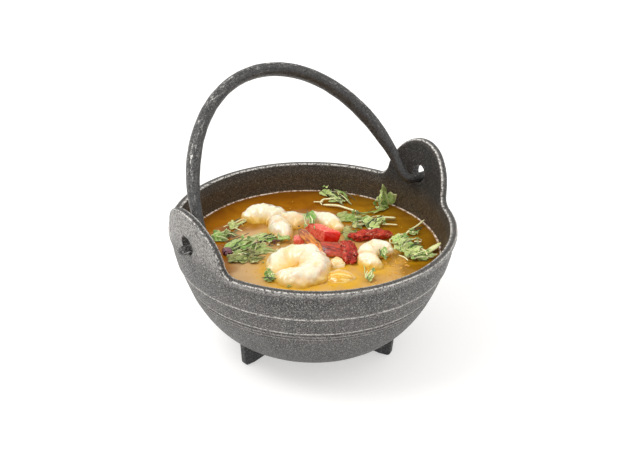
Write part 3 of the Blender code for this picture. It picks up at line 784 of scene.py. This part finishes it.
def strip(name, where, length, width, thickness, bow, crinkle=0.0, look="pepper"):
    """A bowed strip with tapered ends; crinkle folds it like dried skin. fold is 0 in its
    furrows and 1 on its ridges, edge is 1 on its two long edges, end is 1 at its far tip."""
    stations, sides = 130, 36
    t = np.linspace(0, 1, stations)
    offset = t - 0.5
    path = np.stack([offset * length, crinkle * np.sin(7.0 * pi * t), bow * (1 - 4 * offset ** 2)], axis=1) * MM
    ends = np.sqrt(np.clip(0.02 + 4.0 * np.minimum(t, 1.0 - t), 0, 1))
    ripple = 1.0 + 0.20 * crinkle * np.cos(9.0 * pi * t)
    points, turns = rings_along(path, 0.5 * width * MM * ends * ripple, 0.5 * thickness * MM * ends,
                                (0, 0, 1), sides, square=2.2)
    middle = np.repeat(path, sides, axis=0)
    stretched = points * np.array([0.4, 1.0, 1.0])
    ridges = np.minimum(4.0 * np.abs(lumps(stretched, 2.6 * MM, length)), 1.0)
    fine = np.minimum(4.0 * np.abs(lumps(stretched, 1.2 * MM, width)), 1.0)
    fold = (0.03 + 0.16 * crinkle) * (ridges - 0.6) + (0.01 + 0.04 * crinkle) * (fine - 0.6)
    points = middle + (points - middle) * (1.0 + fold)[:, None]
    points += 0.5 * crinkle * MM * np.array([lumps(points, 4 * MM, s) for s in (1.0, 2.0, 3.0)]).T
    values = {"fold": 0.6 * ridges + 0.4 * fine, "edge": np.abs(np.cos(turns)) ** 6,
              "end": np.repeat(smooth((t - 0.86) / 0.1), sides)}
    made = piece(name, moved(where, points), capped_faces(stations, sides), LOOKS[look], nodes=[name],
                 values=values)
    hold_course(made, points)
    return made


def petal(name, where, length, width, cup, thickness=0.9, pale=0.0):
    """A cupped onion petal, hollow side up, with a pale rim. pale bleaches all of it."""
    rows, columns = 26, 60
    share = np.linspace(0.03, 1, rows)[:, None]
    turns = np.linspace(0, 2 * pi, columns, endpoint=False)[None, :]
    reach = share * (1 + 0.08 * np.sin(3 * turns + length) + 0.04 * np.sin(5 * turns) + 0.03 * np.sin(8 * turns))
    x = 0.5 * length * reach * np.cos(turns)
    y = 0.5 * width * reach * np.sin(turns) * (1 - 0.2 * np.cos(turns))
    z = cup * (share ** 2.2 - 0.5) + 0 * turns
    upper = np.stack([x, y, z], axis=-1).reshape(-1, 3) * MM
    upper[:, 2] += 0.25 * MM * lumps(upper, 3.5 * MM, length)
    lower = upper[::-1] - np.array([0, 0, thickness * MM])
    points = np.concatenate([upper, lower])
    order = np.concatenate([np.arange(rows * columns), rows * columns + np.arange(rows * columns)])
    flipped = order[rows * columns:].reshape(rows, columns)[:, ::-1]
    order[rows * columns:] = flipped.ravel()
    rim = np.repeat(np.maximum(0.8 * smooth((share.ravel() - 0.7) / 0.3), pale), columns)
    made = piece(name, moved(where, points[order]), capped_faces(2 * rows, columns), LOOKS["petal"], nodes=[name],
                 values={"rim": np.append(rim, rim[::-1])})
    hold_course(made, points[order])
    return made


# Corners of the tomato pieces: right, away and up as seen over the front of the pot
WEDGE = [(1.2, -4.2, 3.4), (0.4, -4.8, -5.5), (8.6, -4.8, -5.5), (11.8, -3.0, 3.0), (-12.2, 10.2, 2.6),
         (-12.0, 9.4, -4.0), (-1.4, 5.2, 4.6), (10.0, 3.5, -3.5), (-3.5, 10.4, -4.0)]
SCRAP = [(-3.5, -3.5, 1.0), (-3.0, -4.0, -3.0), (3.4, -3.0, 2.4), (3.8, -3.2, -3.0), (2.6, 3.0, 2.2),
         (-3.2, 3.6, 0.6), (3.0, 3.6, -3.0), (-3.0, 3.8, -3.0)]
FRONT_TURN = -37.7              # turns local X to the right of the pot's front as photographed


def toppings():
    return [
        chunk("tomato_wedge", place(8.5, 0.5, 72, turn=FRONT_TURN), WEDGE, 1.2, (0.35, -1, 0.25)),
        strip("pepper_strip", place(-5, -5, 72.8, tilt=-38, turn=79), 36, 6.2, 1.8, 2.5, 0.12),
        chunk("tomato_scrap", place(-6, 7, 69.6, turn=FRONT_TURN), SCRAP, 0.7, (1, 0.3, 0.5)),
        strip("pepper_scrap", place(2.5, -14.5, 68.6, tilt=30, turn=-50), 21, 10, 3, 1, 0.4, "flake"),
        strip("dried_chilli_1", place(11, -22.5, 68, turn=-121), 27, 10, 6, 1, 1.0, "chilli"),
        strip("dried_chilli_2", place(36, -13, 68, turn=-27), 29, 7, 6, 1, 1.0, "chilli"),
        petal("onion_petal_1", place(-3, -29.5, 67.8, tilt=35, turn=FRONT_TURN), 10, 9, -1.5, 3.0, 1.0),
        petal("onion_petal_2", place(-11.5, -44, 67.2, tilt=26, turn=FRONT_TURN), 18, 15, -3.0, 1.4),
        strip("lemongrass_strip", place(54, -49, 68.4, roll=-10, turn=2), 21, 4.2, 2.0, -0.8, 0.08, "straw"),
        strip("shallot_piece", place(-49.5, 22.5, 67, turn=60), 8, 6, 4, 0, 0.2, "shallot"),
        prawn("prawn_5", place(22, -38.5, 68, tilt=201, turn=FRONT_TURN, spin=66), 6.6, 6.4, 272, -0.26, 4, 0.7, 0.3),
        prawn("prawn_4", place(-27, -19, 66.5, tilt=4, roll=-6, turn=FRONT_TURN, spin=215), 13.2, 9.6, 366, 0.06, 5, 0.7, 0.3),
        prawn("prawn_3", place(6.2, 11, 66.3, tilt=172, turn=72), 20, 6, 96, 0.0, 2, 0.1, 0.45),
        prawn("prawn_2", place(2, 24, 67.3, tilt=188, turn=-128), 9.4, 8.6, 250, 0.12, 3, 1.0, 0.3),
        prawn("prawn_1", place(-12, 40, 65.6, tilt=10, turn=FRONT_TURN, spin=28), 13, 8, 124, 0.0, 3, 0.4, 0.35),
    ]


# ------------------------------------------------------------------- soup

def distances(points, targets):
    """Level distance from each point to the nearest target point."""
    tree = KDTree(len(targets))
    for i, target in enumerate(targets):
        tree.insert((target[0], target[1], 0.0), i)
    tree.balance()
    return np.array([tree.find((p[0], p[1], 0.0))[2] for p in points])


def soup(solids):
    """The broth up to its level, climbing a little at the wall and at every piece."""
    wet = np.array([v.co for s in solids for v in s.data.vertices if abs(v.co.z - SOUP_Z) < 0.8 * MM])
    fleshy = [s for s in solids if s.name.startswith(("prawn", "onion"))]
    sunk = np.array([v.co for s in fleshy for v in s.data.vertices if v.co.z < SOUP_Z + 0.5 * MM])
    wall = inner_radius(SOUP_Z) + 0.4 * MM
    columns = 420
    radii = wall * np.linspace(0.004, 1, 170) ** 0.8
    turns = np.linspace(0, 2 * pi, columns, endpoint=False)
    points = np.array([(r * cos(a), r * sin(a), SOUP_Z) for r in radii for a in turns])
    in_from_wall = wall - np.repeat(radii, columns)
    touch = distances(points, wet)
    near = distances(points, sunk)
    points[:, 2] += 0.8 * MM * np.exp(-in_from_wall / (1.1 * MM)) + 0.5 * MM * np.exp(-touch / (0.9 * MM))
    points[:, 2] += 0.10 * MM * lumps(points, 14 * MM) - 0.9 * MM
    skirt_z = np.linspace(SOUP_Z - 1.5 * MM, BOWL_FLOOR_Z + 0.3 * MM, 12)
    skirt = np.array([((inner_radius(z) - 0.1 * MM) * cos(a), (inner_radius(z) - 0.1 * MM) * sin(a), z)
                      for z in skirt_z for a in turns])
    away = points[:, 0] * 0.61 + points[:, 1] * 0.79
    right = points[:, 0] * 0.79 - points[:, 1] * 0.61
    reach = 42 * MM - 0.5 * np.clip(right - 5 * MM, 0, None)
    ragged = 7 * MM * lumps(points, 17 * MM, 4.0) + 3 * MM * lumps(points, 6 * MM, 9.0)
    cloud = smooth((reach + ragged - away) / (30 * MM))
    cloud *= smooth((right + ragged + 58 * MM) / (18 * MM)) * (1 - smooth((right + ragged - 46 * MM) / (18 * MM)))
    values = {
        "cloud": cloud,
        "gold": smooth((right + 10 * MM) / (60 * MM)),
        # edge darkens the broth near the wall as painted shade and reflection
        "edge": np.exp(-in_from_wall / (12 * MM)),
        "foam": np.exp(-((in_from_wall - 0.9 * MM) / (0.7 * MM)) ** 4),
        "shallow": np.exp(-(near / (6.5 * MM)) ** 1.5) * (0.25 + 0.75 * smooth((25 * MM - away) / (40 * MM))),
    }
    pad = np.zeros(len(skirt))
    values = {key: np.append(numbers, pad) for key, numbers in values.items()}
    rows = len(radii) + len(skirt_z)
    return piece("soup_broth", np.concatenate([points, skirt]), capped_faces(rows, columns), LOOKS["broth"],
                 nodes=["soup"], values=values)


# ------------------------------------------------------------------ herbs

class Heap:
    """Collects the points, faces and values of many small things as one mesh."""

    def __init__(self):
        self.points, self.faces, self.values = [], [], {}

    def add(self, points, faces, **values):
        start = len(self.points)
        self.points += [tuple(p) for p in points]
        self.faces += [tuple(start + k for k in face) for face in faces]
        for key, numbers in values.items():
            numbers = np.broadcast_to(np.asarray(numbers, float), len(points))
            self.values.setdefault(key, []).extend(numbers)

    def build(self, name, look):
        return piece(name, self.points, self.faces, look, values=self.values)


def leaf(rng, length, width, rows, columns, crumple=0.09):
    """A fan-shaped coriander leaf, base at the origin and tip along +X: three lobes with
    teeth, veins along the lobes, curled and crumpled. Also its veins and its edge."""
    across = np.linspace(-1, 1, columns)
    lobes = 0.52 + 0.48 * np.abs(np.cos(pi * across / 0.66)) ** 0.8
    teeth = 1.0 + 0.08 * np.cos(2 * pi * across / 0.22 + rng.uniform(-0.6, 0.6))
    fan = lobes * teeth * (1.0 - 0.25 * np.abs(across)) * (1 + 0.06 * np.sin(5 * across + rng.uniform(0, 6)))
    angle = radians(100) * across
    out = np.linspace(0.04, 1, rows)
    x = np.outer(out, fan * np.cos(angle))
    y = np.outer(out, fan * np.sin(angle)) * 0.6 * width / length
    bend, cup = rng.uniform(-0.2, 0.05), rng.uniform(-0.5, 0.3)
    shift = rng.uniform(0, 50, 2)
    wave = np.sin(5 * x + shift[0]) * np.cos(6 * y + shift[1]) + 0.5 * np.sin(11 * y + shift[1])
    z = bend * x ** 2 + cup * y ** 2 + crumple * wave * (0.3 + out[:, None])
    points = np.stack([x, y, z], axis=-1).reshape(-1, 3) * length
    vein = np.exp(-((np.abs(np.cos(pi * across / 0.66)) - 1.0) / 0.10) ** 2)
    vein = np.outer(1.0 - 0.6 * out, vein).ravel()
    edge = np.repeat(smooth((out - 0.78) / 0.2), columns)
    return points, grid_faces(rows, columns, closed=False), vein, edge


def stem(path, radius, sides=7):
    """A thin stem along a smooth curve through a few points, in millimetres over the broth."""
    path = np.asarray(path, float) * MM + (0, 0, SOUP_Z)
    t = np.linspace(0, len(path) - 1, 26)
    spline = np.stack([np.interp(t, range(len(path)), path[:, k]) for k in range(3)], axis=1)
    for _ in range(4):
        spline[1:-1] = (spline[:-2] + 2 * spline[1:-1] + spline[2:]) / 4
    size = radius * MM * np.sqrt(np.clip(0.2 + 8 * np.minimum(t, t[-1] - t) / t[-1], 0, 1))
    size *= 1.0 + 0.25 * lumps(spline, 3 * MM)
    points, _ = rings_along(spline, size, 0.7 * size, (0.1, 0.2, 1), sides)
    return points, capped_faces(len(spline), sides)


# Leaves: base, tip (millimetres, heights over the broth), width, roll, tone from dark
# through fresh green to pale, and how far it is sunk
LEAVES = [
    ((49.5, 58.0, 1.0), (52.0, 45.5, 2.0), 7, 20, 0.85, 0.0),
    ((57.5, 50.5, 3.0), (56.0, 33.0, 1.0), 7, -20, 0.75, 0.0),
    ((53.0, 51.0, 0.6), (50.0, 35.0, 0.8), 6, 5, 0.15, 0.0),
    ((47.0, 45.0, 0.5), (55.0, 37.0, 1.0), 6, 15, 0.80, 0.0),
    # the upright leaf: its tone is set paler as painted light, for light that shines through it
    ((75.0, 17.0, 0.5), (71.0, 18.5, 15.0), 16, 0, 0.70, 0.0),
    ((70.0, 15.0, 0.8), (59.5, 12.5, 0.8), 5, 10, 0.90, 0.0),
    ((74.0, 16.0, 0.8), (67.0, 15.5, 3.0), 6, 0, 0.55, 0.0),
    ((35.5, 20.0, 0.3), (50.0, 12.5, 0.6), 10, 0, 0.80, 0.35),
    ((39.0, 16.0, 0.3), (52.5, 9.5, 0.6), 8, 5, 0.45, 0.25),
    ((43.5, 1.0, 1.0), (57.0, 0.5, 2.4), 10, 10, 0.85, 0.0),
    ((45.0, -3.5, 0.8), (54.0, -2.5, 2.4), 8, -10, 0.95, 0.0),
    ((45.0, 5.0, 0.8), (56.0, 4.0, 2.0), 7, 0, 0.60, 0.0),
    ((37.0, 6.0, 0.3), (46.0, 3.0, 0.6), 6, 0, 0.25, 0.2),
    ((60.0, -23.0, 1.0), (67.5, -25.5, 1.8), 5, 0, 0.75, 0.0),
    ((43.5, -26.5, 1.4), (54.0, -33.0, 3.4), 10, 0, 0.80, 0.0),
    ((43.0, -33.0, 1.8), (50.5, -38.5, 4.0), 9, 10, 0.95, 0.0),
    ((50.0, -28.0, 1.0), (57.5, -32.5, 2.4), 7, -10, 0.40, 0.0),
    ((36.5, -40.5, 3.0), (43.0, -36.0, 4.5), 8, 0, 0.90, 0.0),
    ((38.0, -44.0, 2.8), (49.0, -47.0, 4.5), 11, 0, 1.00, 0.0),
    ((43.0, -41.0, 2.0), (53.0, -44.0, 3.6), 8, 10, 0.60, 0.0),
    ((40.0, -49.0, 1.5), (50.0, -51.5, 3.0), 8, -10, 0.50, 0.0),
    ((44.0, -50.0, 1.5), (54.5, -57.0, 2.5), 8, 0, 0.65, 0.0),
    ((47.0, -36.0, 1.0), (57.0, -37.0, 2.0), 6, 0, 0.15, 0.0),
    ((-31.0, 49.0, 1.0), (-17.0, 50.5, 1.6), 6, 0, 0.90, 0.0),
    ((-45.0, 46.0, 1.0), (-41.5, 34.5, 1.2), 9, 0, 0.35, 0.0),
    ((-47.0, 41.0, 0.8), (-36.0, 39.5, 1.4), 8, 10, 0.65, 0.0),
    ((-39.0, 44.0, 0.6), (-32.0, 38.0, 1.0), 7, 0, 0.20, 0.2),
    ((-46.5, 25.5, 1.2), (-20.5, 27.0, 1.8), 10, 0, 0.80, 0.0),
    ((-41.5, 21.0, 1.4), (-26.0, 24.0, 3.0), 9, -12, 0.45, 0.0),
    ((-46.0, 19.5, 0.8), (-37.0, 19.0, 1.2), 6, 0, 0.10, 0.0),
    ((-25.0, 25.0, 0.8), (-12.0, 22.5, 1.6), 7, 0, 0.85, 0.0),
    ((-14.0, 13.5, 2.0), (-5.5, 21.5, 5.0), 8, 0, 0.85, 0.0),
    ((-20.0, 21.0, 0.8), (-11.0, 17.5, 2.0), 7, 0, 0.60, 0.0),
    ((-54.0, 14.0, 0.2), (-43.0, 10.0, 0.5), 8, 0, 0.30, 0.45),
    ((-50.0, 9.0, 0.2), (-39.0, 8.5, 0.5), 8, 0, 0.55, 0.45),
    ((-44.0, 5.0, 0.2), (-35.0, 3.5, 0.4), 7, 0, 0.25, 0.5),
    ((-48.0, 15.5, 0.3), (-37.0, 14.0, 0.6), 8, 0, 0.45, 0.3),
    ((-41.0, 12.0, 0.3), (-31.0, 9.0, 0.5), 8, 0, 0.15, 0.4),
    ((-33.0, 16.0, 0.3), (-23.5, 6.5, 0.6), 10, 0, 0.75, 0.3),
    ((-35.0, 20.0, 0.5), (-27.0, 14.0, 0.8), 7, 0, 0.40, 0.2),
    ((-48.0, -17.0, 1.0), (-40.5, -24.5, 1.6), 8, 0, 0.55, 0.0),
    ((-46.5, -22.5, 0.8), (-44.0, -16.0, 2.0), 5, 0, 0.65, 0.0),
    ((-43.5, -30.5, 0.6), (-41.0, -35.0, 0.8), 4, 0, 0.55, 0.2),
    ((26.0, -38.0, 6.0), (21.0, -46.5, 5.0), 5, 20, 0.60, 0.0),
    ((0.5, -55.0, 1.2), (9.0, -49.5, 3.2), 6, 0, 0.80, 0.0),
    ((14.0, 23.5, 9.6), (4.5, 6.0, 9.6), 8, 25, 0.60, 0.0),
    ((26.0, 2.0, 0.3), (36.0, -3.0, 0.6), 9, 0, 0.85, 0.55),
    ((22.0, -4.0, 0.3), (31.0, -6.0, 0.6), 8, 0, 0.70, 0.50),
]

# Strands and stems: points in millimetres over the broth, radius, tone from dark to cream
STRANDS = [
    ([(36.0, 48.5, 0.6), (41.0, 44.5, 0.8)], 0.65, 1.0),
    ([(39.5, 45.5, 0.8), (43.5, 47.0, 1.2), (48.0, 44.0, 1.4), (53.5, 42.0, 1.6)], 0.85, 1.0),
    ([(38.5, 41.0, 0.8), (46.0, 34.0, 1.0), (48.5, 26.5, 1.0), (51.5, 19.5, 0.7)], 1.05, 1.0),
    ([(39.0, 45.0, 0.7), (38.0, 41.5, 0.7)], 0.45, 1.0),
    ([(75.0, 17.0, 0.8), (70.0, 14.5, 0.9), (62.0, 13.5, 0.6), (49.0, 18.0, 0.4)], 0.70, 0.55),
    ([(43.0, 8.5, 0.9), (46.5, 7.5, 1.2), (50.5, 5.0, 1.0)], 0.50, 0.9),
    ([(41.0, 9.5, 0.7), (45.0, 6.5, 0.9), (50.5, 4.0, 0.8)], 0.45, 0.0),
    ([(55.5, 3.0, 1.6), (60.0, 1.5, 1.8), (66.0, -2.0, 1.2)], 0.95, 1.0),
    ([(53.0, -4.0, 1.0), (57.0, -7.0, 1.2), (61.0, -10.0, 0.9)], 0.60, 1.0),
    ([(56.0, 1.0, 1.0), (60.5, -1.0, 1.0), (64.5, -4.0, 0.8)], 0.40, 0.1),
    ([(78.0, -17.0, 2.6), (70.5, -19.5, 2.0), (63.0, -21.0, 1.6), (55.0, -24.0, 1.2)], 0.75, 0.9),
    ([(48.5, -47.0, 4.0), (50.0, -50.5, 3.4), (48.0, -54.5, 2.6)], 0.50, 1.0),
    ([(34.0, -43.5, 2.0), (35.5, -47.0, 1.8), (35.5, -51.0, 1.2)], 0.55, 1.0),
    ([(40.0, -28.0, 2.0), (42.0, -25.0, 2.4), (45.0, -24.5, 2.2)], 0.40, 0.95),
    ([(53.0, -36.0, 2.6), (57.0, -38.5, 2.2)], 0.55, 1.0),
    ([(-34.0, 51.5, 0.8), (-30.0, 51.5, 1.0), (-25.5, 52.0, 1.4), (-18.0, 53.0, 1.4), (-16.0, 49.5, 1.2)], 0.50, 1.0),
    ([(-28.5, 46.5, 0.7), (-27.0, 40.0, 0.7)], 0.45, 1.0),
    ([(-46.5, 23.5, 2.0), (-40.0, 22.5, 2.2), (-33.0, 24.5, 2.6)], 0.45, 0.0),
    ([(-47.5, 20.5, 0.9), (-46.0, 16.0, 1.1), (-43.5, 12.5, 0.8)], 0.65, 1.0),
    ([(-44.5, 18.5, 0.9), (-42.0, 13.5, 0.9), (-39.0, 11.0, 0.7)], 0.45, 0.95),
    ([(-34.5, 14.0, 1.0), (-31.0, 17.5, 1.8), (-29.0, 21.0, 2.4)], 0.35, 0.95),
    ([(-30.0, 7.0, 0.7), (-26.0, 4.5, 0.7), (-21.5, 8.0, 0.7)], 0.45, 0.8),
    ([(16.0, 26.5, 7.6), (19.5, 21.5, 6.4), (22.5, 15.0, 5.0), (28.0, 7.0, 3.4)], 0.30, 0.0),
    ([(20.0, 26.0, 6.6), (24.0, 19.5, 5.4), (28.5, 12.5, 3.6)], 0.30, 0.1),
    ([(9.5, -40.0, 0.9), (7.0, -44.0, 0.8), (3.0, -49.0, 0.6)], 0.35, 0.7),
]

# Bits: middle in millimetres over the broth, size, tone from near black through red to cream
BITS = [
    (-30.0, 19.4, 2.0, 1.6, 0.0), (-28.0, 17.6, 1.6, 1.5, 1.0), (-26.2, 19.8, 2.0, 1.7, 0.05),
    (-24.6, 17.4, 1.4, 1.4, 0.9), (-23.4, 19.6, 1.8, 1.6, 0.0), (-21.6, 17.2, 1.6, 1.5, 0.95),
    (-27.0, 15.2, 1.0, 1.3, 0.0), (-22.8, 15.0, 1.0, 1.4, 0.1), (-18.6, 16.2, 2.0, 3.2, 0.4),
    (-16.4, 14.4, 2.2, 2.6, 0.35), (-19.8, 13.8, 1.4, 1.8, 0.3), (-15.2, 19.6, 2.2, 1.2, 0.0),
    (-9.4, 15.6, 4.0, 1.4, 0.0), (-10.6, 17.4, 4.0, 1.0, 0.05), (-18.6, 11.4, 1.2, 2.2, 1.0),
    (42.1, -4.7, 1.2, 3.0, 1.0), (44.0, -5.6, 1.0, 2.0, 1.0), (56.0, -37.6, 0.8, 1.4, 1.0),
    (59.0, -35.6, 0.7, 1.2, 1.0), (60.8, -34.2, 0.7, 0.9, 0.9), (62.0, -24.6, 2.0, 1.6, 1.0),
    (-45.6, 18.0, 0.8, 1.6, 0.95), (-40.0, 16.6, 0.9, 1.4, 0.0), (-36.4, 12.4, 0.7, 1.4, 0.0),
    (-1.6, 13.0, 8.6, 1.4, 0.0), (-43.0, 3.0, 0.6, 1.4, 1.0),
]


def add_leaf(leaves, rng, where, length, width, tone, sunk, rows=10, columns=43):
    points, faces, vein, edge = leaf(rng, length, width, rows, columns)
    points = moved(where, points)
    points[:, 2] = np.maximum(points[:, 2], SOUP_Z - (0.2 + 0.6 * sunk) * MM)
    leaves.add(points, faces, vein=vein, edge=edge, tone=np.clip(tone + rng.normal(0, 0.05), 0, 1), sunk=sunk)


def herb_leaves():
    rng = np.random.default_rng(11)
    leaves = Heap()
    for base, tip, width, roll, tone, sunk in LEAVES:
        start = Vector(base) * MM + Vector((0, 0, SOUP_Z))
        course = (Vector(tip) - Vector(base)) * MM
        along = course.normalized()
        across = FACING.cross(along).normalized()
        frame_of_leaf = Matrix((along, across, along.cross(across))).transposed().to_4x4()
        where = Matrix.Translation(start) @ frame_of_leaf @ Matrix.Rotation(radians(roll), 4, "X")
        add_leaf(leaves, rng, where, course.length, width * MM, tone, sunk)
        for _ in range(3):
            aside = place(*(rng.uniform((0, -0.6, 0), (1, 0.6, 0.15)) * (course.length / MM, width, width)),
                          tilt=rng.normal(0, 25), turn=rng.uniform(0, 360))
            size = rng.uniform(0.25, 0.5) * min(course.length, width * MM)
            add_leaf(leaves, rng, where @ aside, size, size * rng.uniform(0.4, 1.0),
                     tone + rng.uniform(-0.5, 0.4), sunk, rows=6, columns=29)
    made = leaves.build("coriander_leaves", LOOKS["leaf"])
    thick = made.modifiers.new("thickness", "SOLIDIFY")
    thick.thickness = 0.25 * MM
    return made


def herb_strands():
    rng = np.random.default_rng(31)
    strands = Heap()
    for base, tip, width, _, _, sunk in LEAVES:
        base, course = np.array(base), np.array(tip) - base
        aside = np.array((-course[1], course[0], 0.0)) / np.hypot(course[0], course[1])
        for _ in range(3):
            start = base + rng.uniform(-0.2, 0.5) * course + rng.uniform(-0.5, 0.5) * width * aside
            end = start + rng.uniform(0.4, 0.9) * course + rng.uniform(-0.25, 0.25) * width * aside
            bow = (start + end) / 2 + rng.uniform(-0.15, 0.15) * width * aside
            path = np.array([start, bow, end])
            path[:, 2] = np.maximum(path[:, 2], 0.3) + 0.9 - 0.8 * sunk
            inside = np.hypot(*path[:, :2].T).max() * MM < inner_radius(SOUP_Z) - 2 * MM
            points, faces = stem(path, rng.uniform(0.22, 0.42))
            if inside:
                strands.add(points, faces, tone=rng.choice((0.0, 0.1, 0.75, 0.95)) * (1 - sunk) + 0.4 * sunk)
    for path, radius, tone in STRANDS:
        points, faces = stem(path, radius)
        strands.add(points, faces, tone=tone)
    return strands.build("shreds_and_stems", LOOKS["strand"])


def pebble(rng, x, y, z, size, flat):
    """Points and faces of an uneven rounded grain, sizes in millimetres."""
    rows, columns = 9, 14
    up = np.linspace(-pi / 2 + 0.15, pi / 2 - 0.15, rows)[:, None]
    turn = np.linspace(0, 2 * pi, columns, endpoint=False)[None, :]
    shape = np.stack([np.cos(up) * np.cos(turn), np.cos(up) * np.sin(turn), np.sin(up) + 0 * turn], axis=-1)
    points = shape.reshape(-1, 3) * (0.5 * size, 0.5 * size * rng.uniform(0.55, 1.0), 0.5 * size * flat)
    points *= (1.0 + 0.25 * lumps(points, 0.8 * size, rng.uniform(0, 90)))[:, None]
    heading = rng.uniform(0, 180)
    return moved(place(x, y, z, turn=heading), points * MM), capped_faces(rows, columns)


def small_bits():
    rng = np.random.default_rng(5)
    bits = Heap()
    for x, y, lift, size, tone in BITS:
        points, faces = pebble(rng, x, y, SOUP_Z / MM + lift - 0.4, size, 0.6)
        bits.add(points, faces, tone=tone)
    return bits.build("herb_and_chilli_bits", LOOKS["bit"])


def oil_drops():
    """Flat drops of oil on the broth, thickest on the side nearest the prawns and the wall."""
    rng = np.random.default_rng(23)
    drops = Heap()
    for x, y, spread, count, largest in OIL:
        for _ in range(count):
            size = largest * rng.uniform(0.25, 1.0) ** 1.5
            east, north = rng.normal(0, spread, 2)
            if np.hypot(x + east, y + north) * MM > inner_radius(SOUP_Z) - 2.5 * MM:
                continue
            points, faces = pebble(rng, x + east, y + north, SOUP_Z / MM - 0.82, size, 0.25)
            drops.add(points, faces)
    return drops.build("oil_drops", LOOKS["oil"])


# Patches of oil drops: middle, spread, count and largest size in millimetres
OIL = [(33, -47, 4, 34, 3.0), (20, -58, 6, 30, 2.4), (-18, -38, 6, 16, 2.0), (-30, 35, 6, 10, 1.4),
       (55, -15, 8, 12, 1.2), (20, 55, 14, 14, 1.0), (-45, -5, 5, 14, 1.6)]

FACING = Vector((-0.35, -0.45, 1.0))   # the way leaves face: up and towards the photographed front

LOOKS = {
    "prawn": prawn_look(),
    "tomato": tomato_look(),
    "pepper": pepper_look("pepper_orange", (0.30, 0.045, 0.004), (0.80, 0.27, 0.015), (0.06, 0.008, 0.004)),
    "flake": pepper_look("pepper_red", (0.16, 0.008, 0.003), (0.58, 0.05, 0.012), (0.60, 0.17, 0.02)),
    "chilli": chilli_look(),
    "petal": petal_look(),
    "shallot": flesh_look("shallot", (0.07, 0.012, 0.02), (0.26, 0.07, 0.10)),
    "straw": flesh_look("lemongrass", (0.70, 0.72, 0.26), (0.90, 0.90, 0.50)),
    "leaf": leaf_look(),
    "strand": strand_look(),
    "bit": bit_look(),
    "oil": flesh_look("oil", (0.60, 0.26, 0.015), (0.82, 0.42, 0.04), rough=0.06, bump=0.0, coat=0.3),
    "broth": broth_look(),
}


# ------------------------------------------------------------------ stage

def stage():
    floor_mesh = bpy.data.meshes.new("floor")
    reach = 4.0
    floor_mesh.from_pydata([(-reach, -reach, 0), (reach, -reach, 0), (reach, reach, 0), (-reach, reach, 0)],
                           [], [(0, 1, 2, 3)])
    floor = bpy.data.objects.new("floor", floor_mesh)
    bpy.context.scene.collection.objects.link(floor)
    paper = Look("floor", Roughness=0.9, Base_Color=(0.62, 0.61, 0.60), Emission_Strength=0.5)
    paper.set("Emission Color", (1.0, 0.995, 0.985))
    floor_mesh.materials.append(paper.material)

    world = bpy.data.worlds.new("studio")
    world.use_nodes = True
    world.node_tree.nodes["Background"].inputs["Color"].default_value = (1.0, 0.995, 0.985, 1.0)
    world.node_tree.nodes["Background"].inputs["Strength"].default_value = 0.91
    bpy.context.scene.world = world

    for name, spot, size, power in (("key", (-0.9, 0.3, 1.5), 0.8, 14.5), ("fill", (0.9, -0.8, 1.1), 1.2, 2.5)):
        lamp = bpy.data.lights.new(name, "AREA")
        lamp.size = size
        lamp.energy = power
        made = bpy.data.objects.new(name, lamp)
        made.location = spot
        made.rotation_euler = (Vector((0, 0, 0.08)) - Vector(spot)).to_track_quat("-Z", "Y").to_euler()
        bpy.context.scene.collection.objects.link(made)
    bpy.context.scene.view_settings.view_transform = "Standard"


def camera():
    data = bpy.data.cameras.new("camera")
    data.lens = CAMERA_LENS
    made = bpy.data.objects.new("camera", data)
    bpy.context.scene.collection.objects.link(made)
    look = (CAMERA_AIM - CAMERA_AT).to_track_quat("-Z", "Y").to_matrix() @ Matrix.Rotation(CAMERA_ROLL, 3, "Z")
    made.matrix_world = Matrix.Translation(CAMERA_AT) @ look.to_4x4()
    bpy.context.scene.camera = made


camera()
stage()
pot()
feet()
bail()
soup(toppings())
herb_leaves()
herb_strands()
small_bits()
oil_drops()
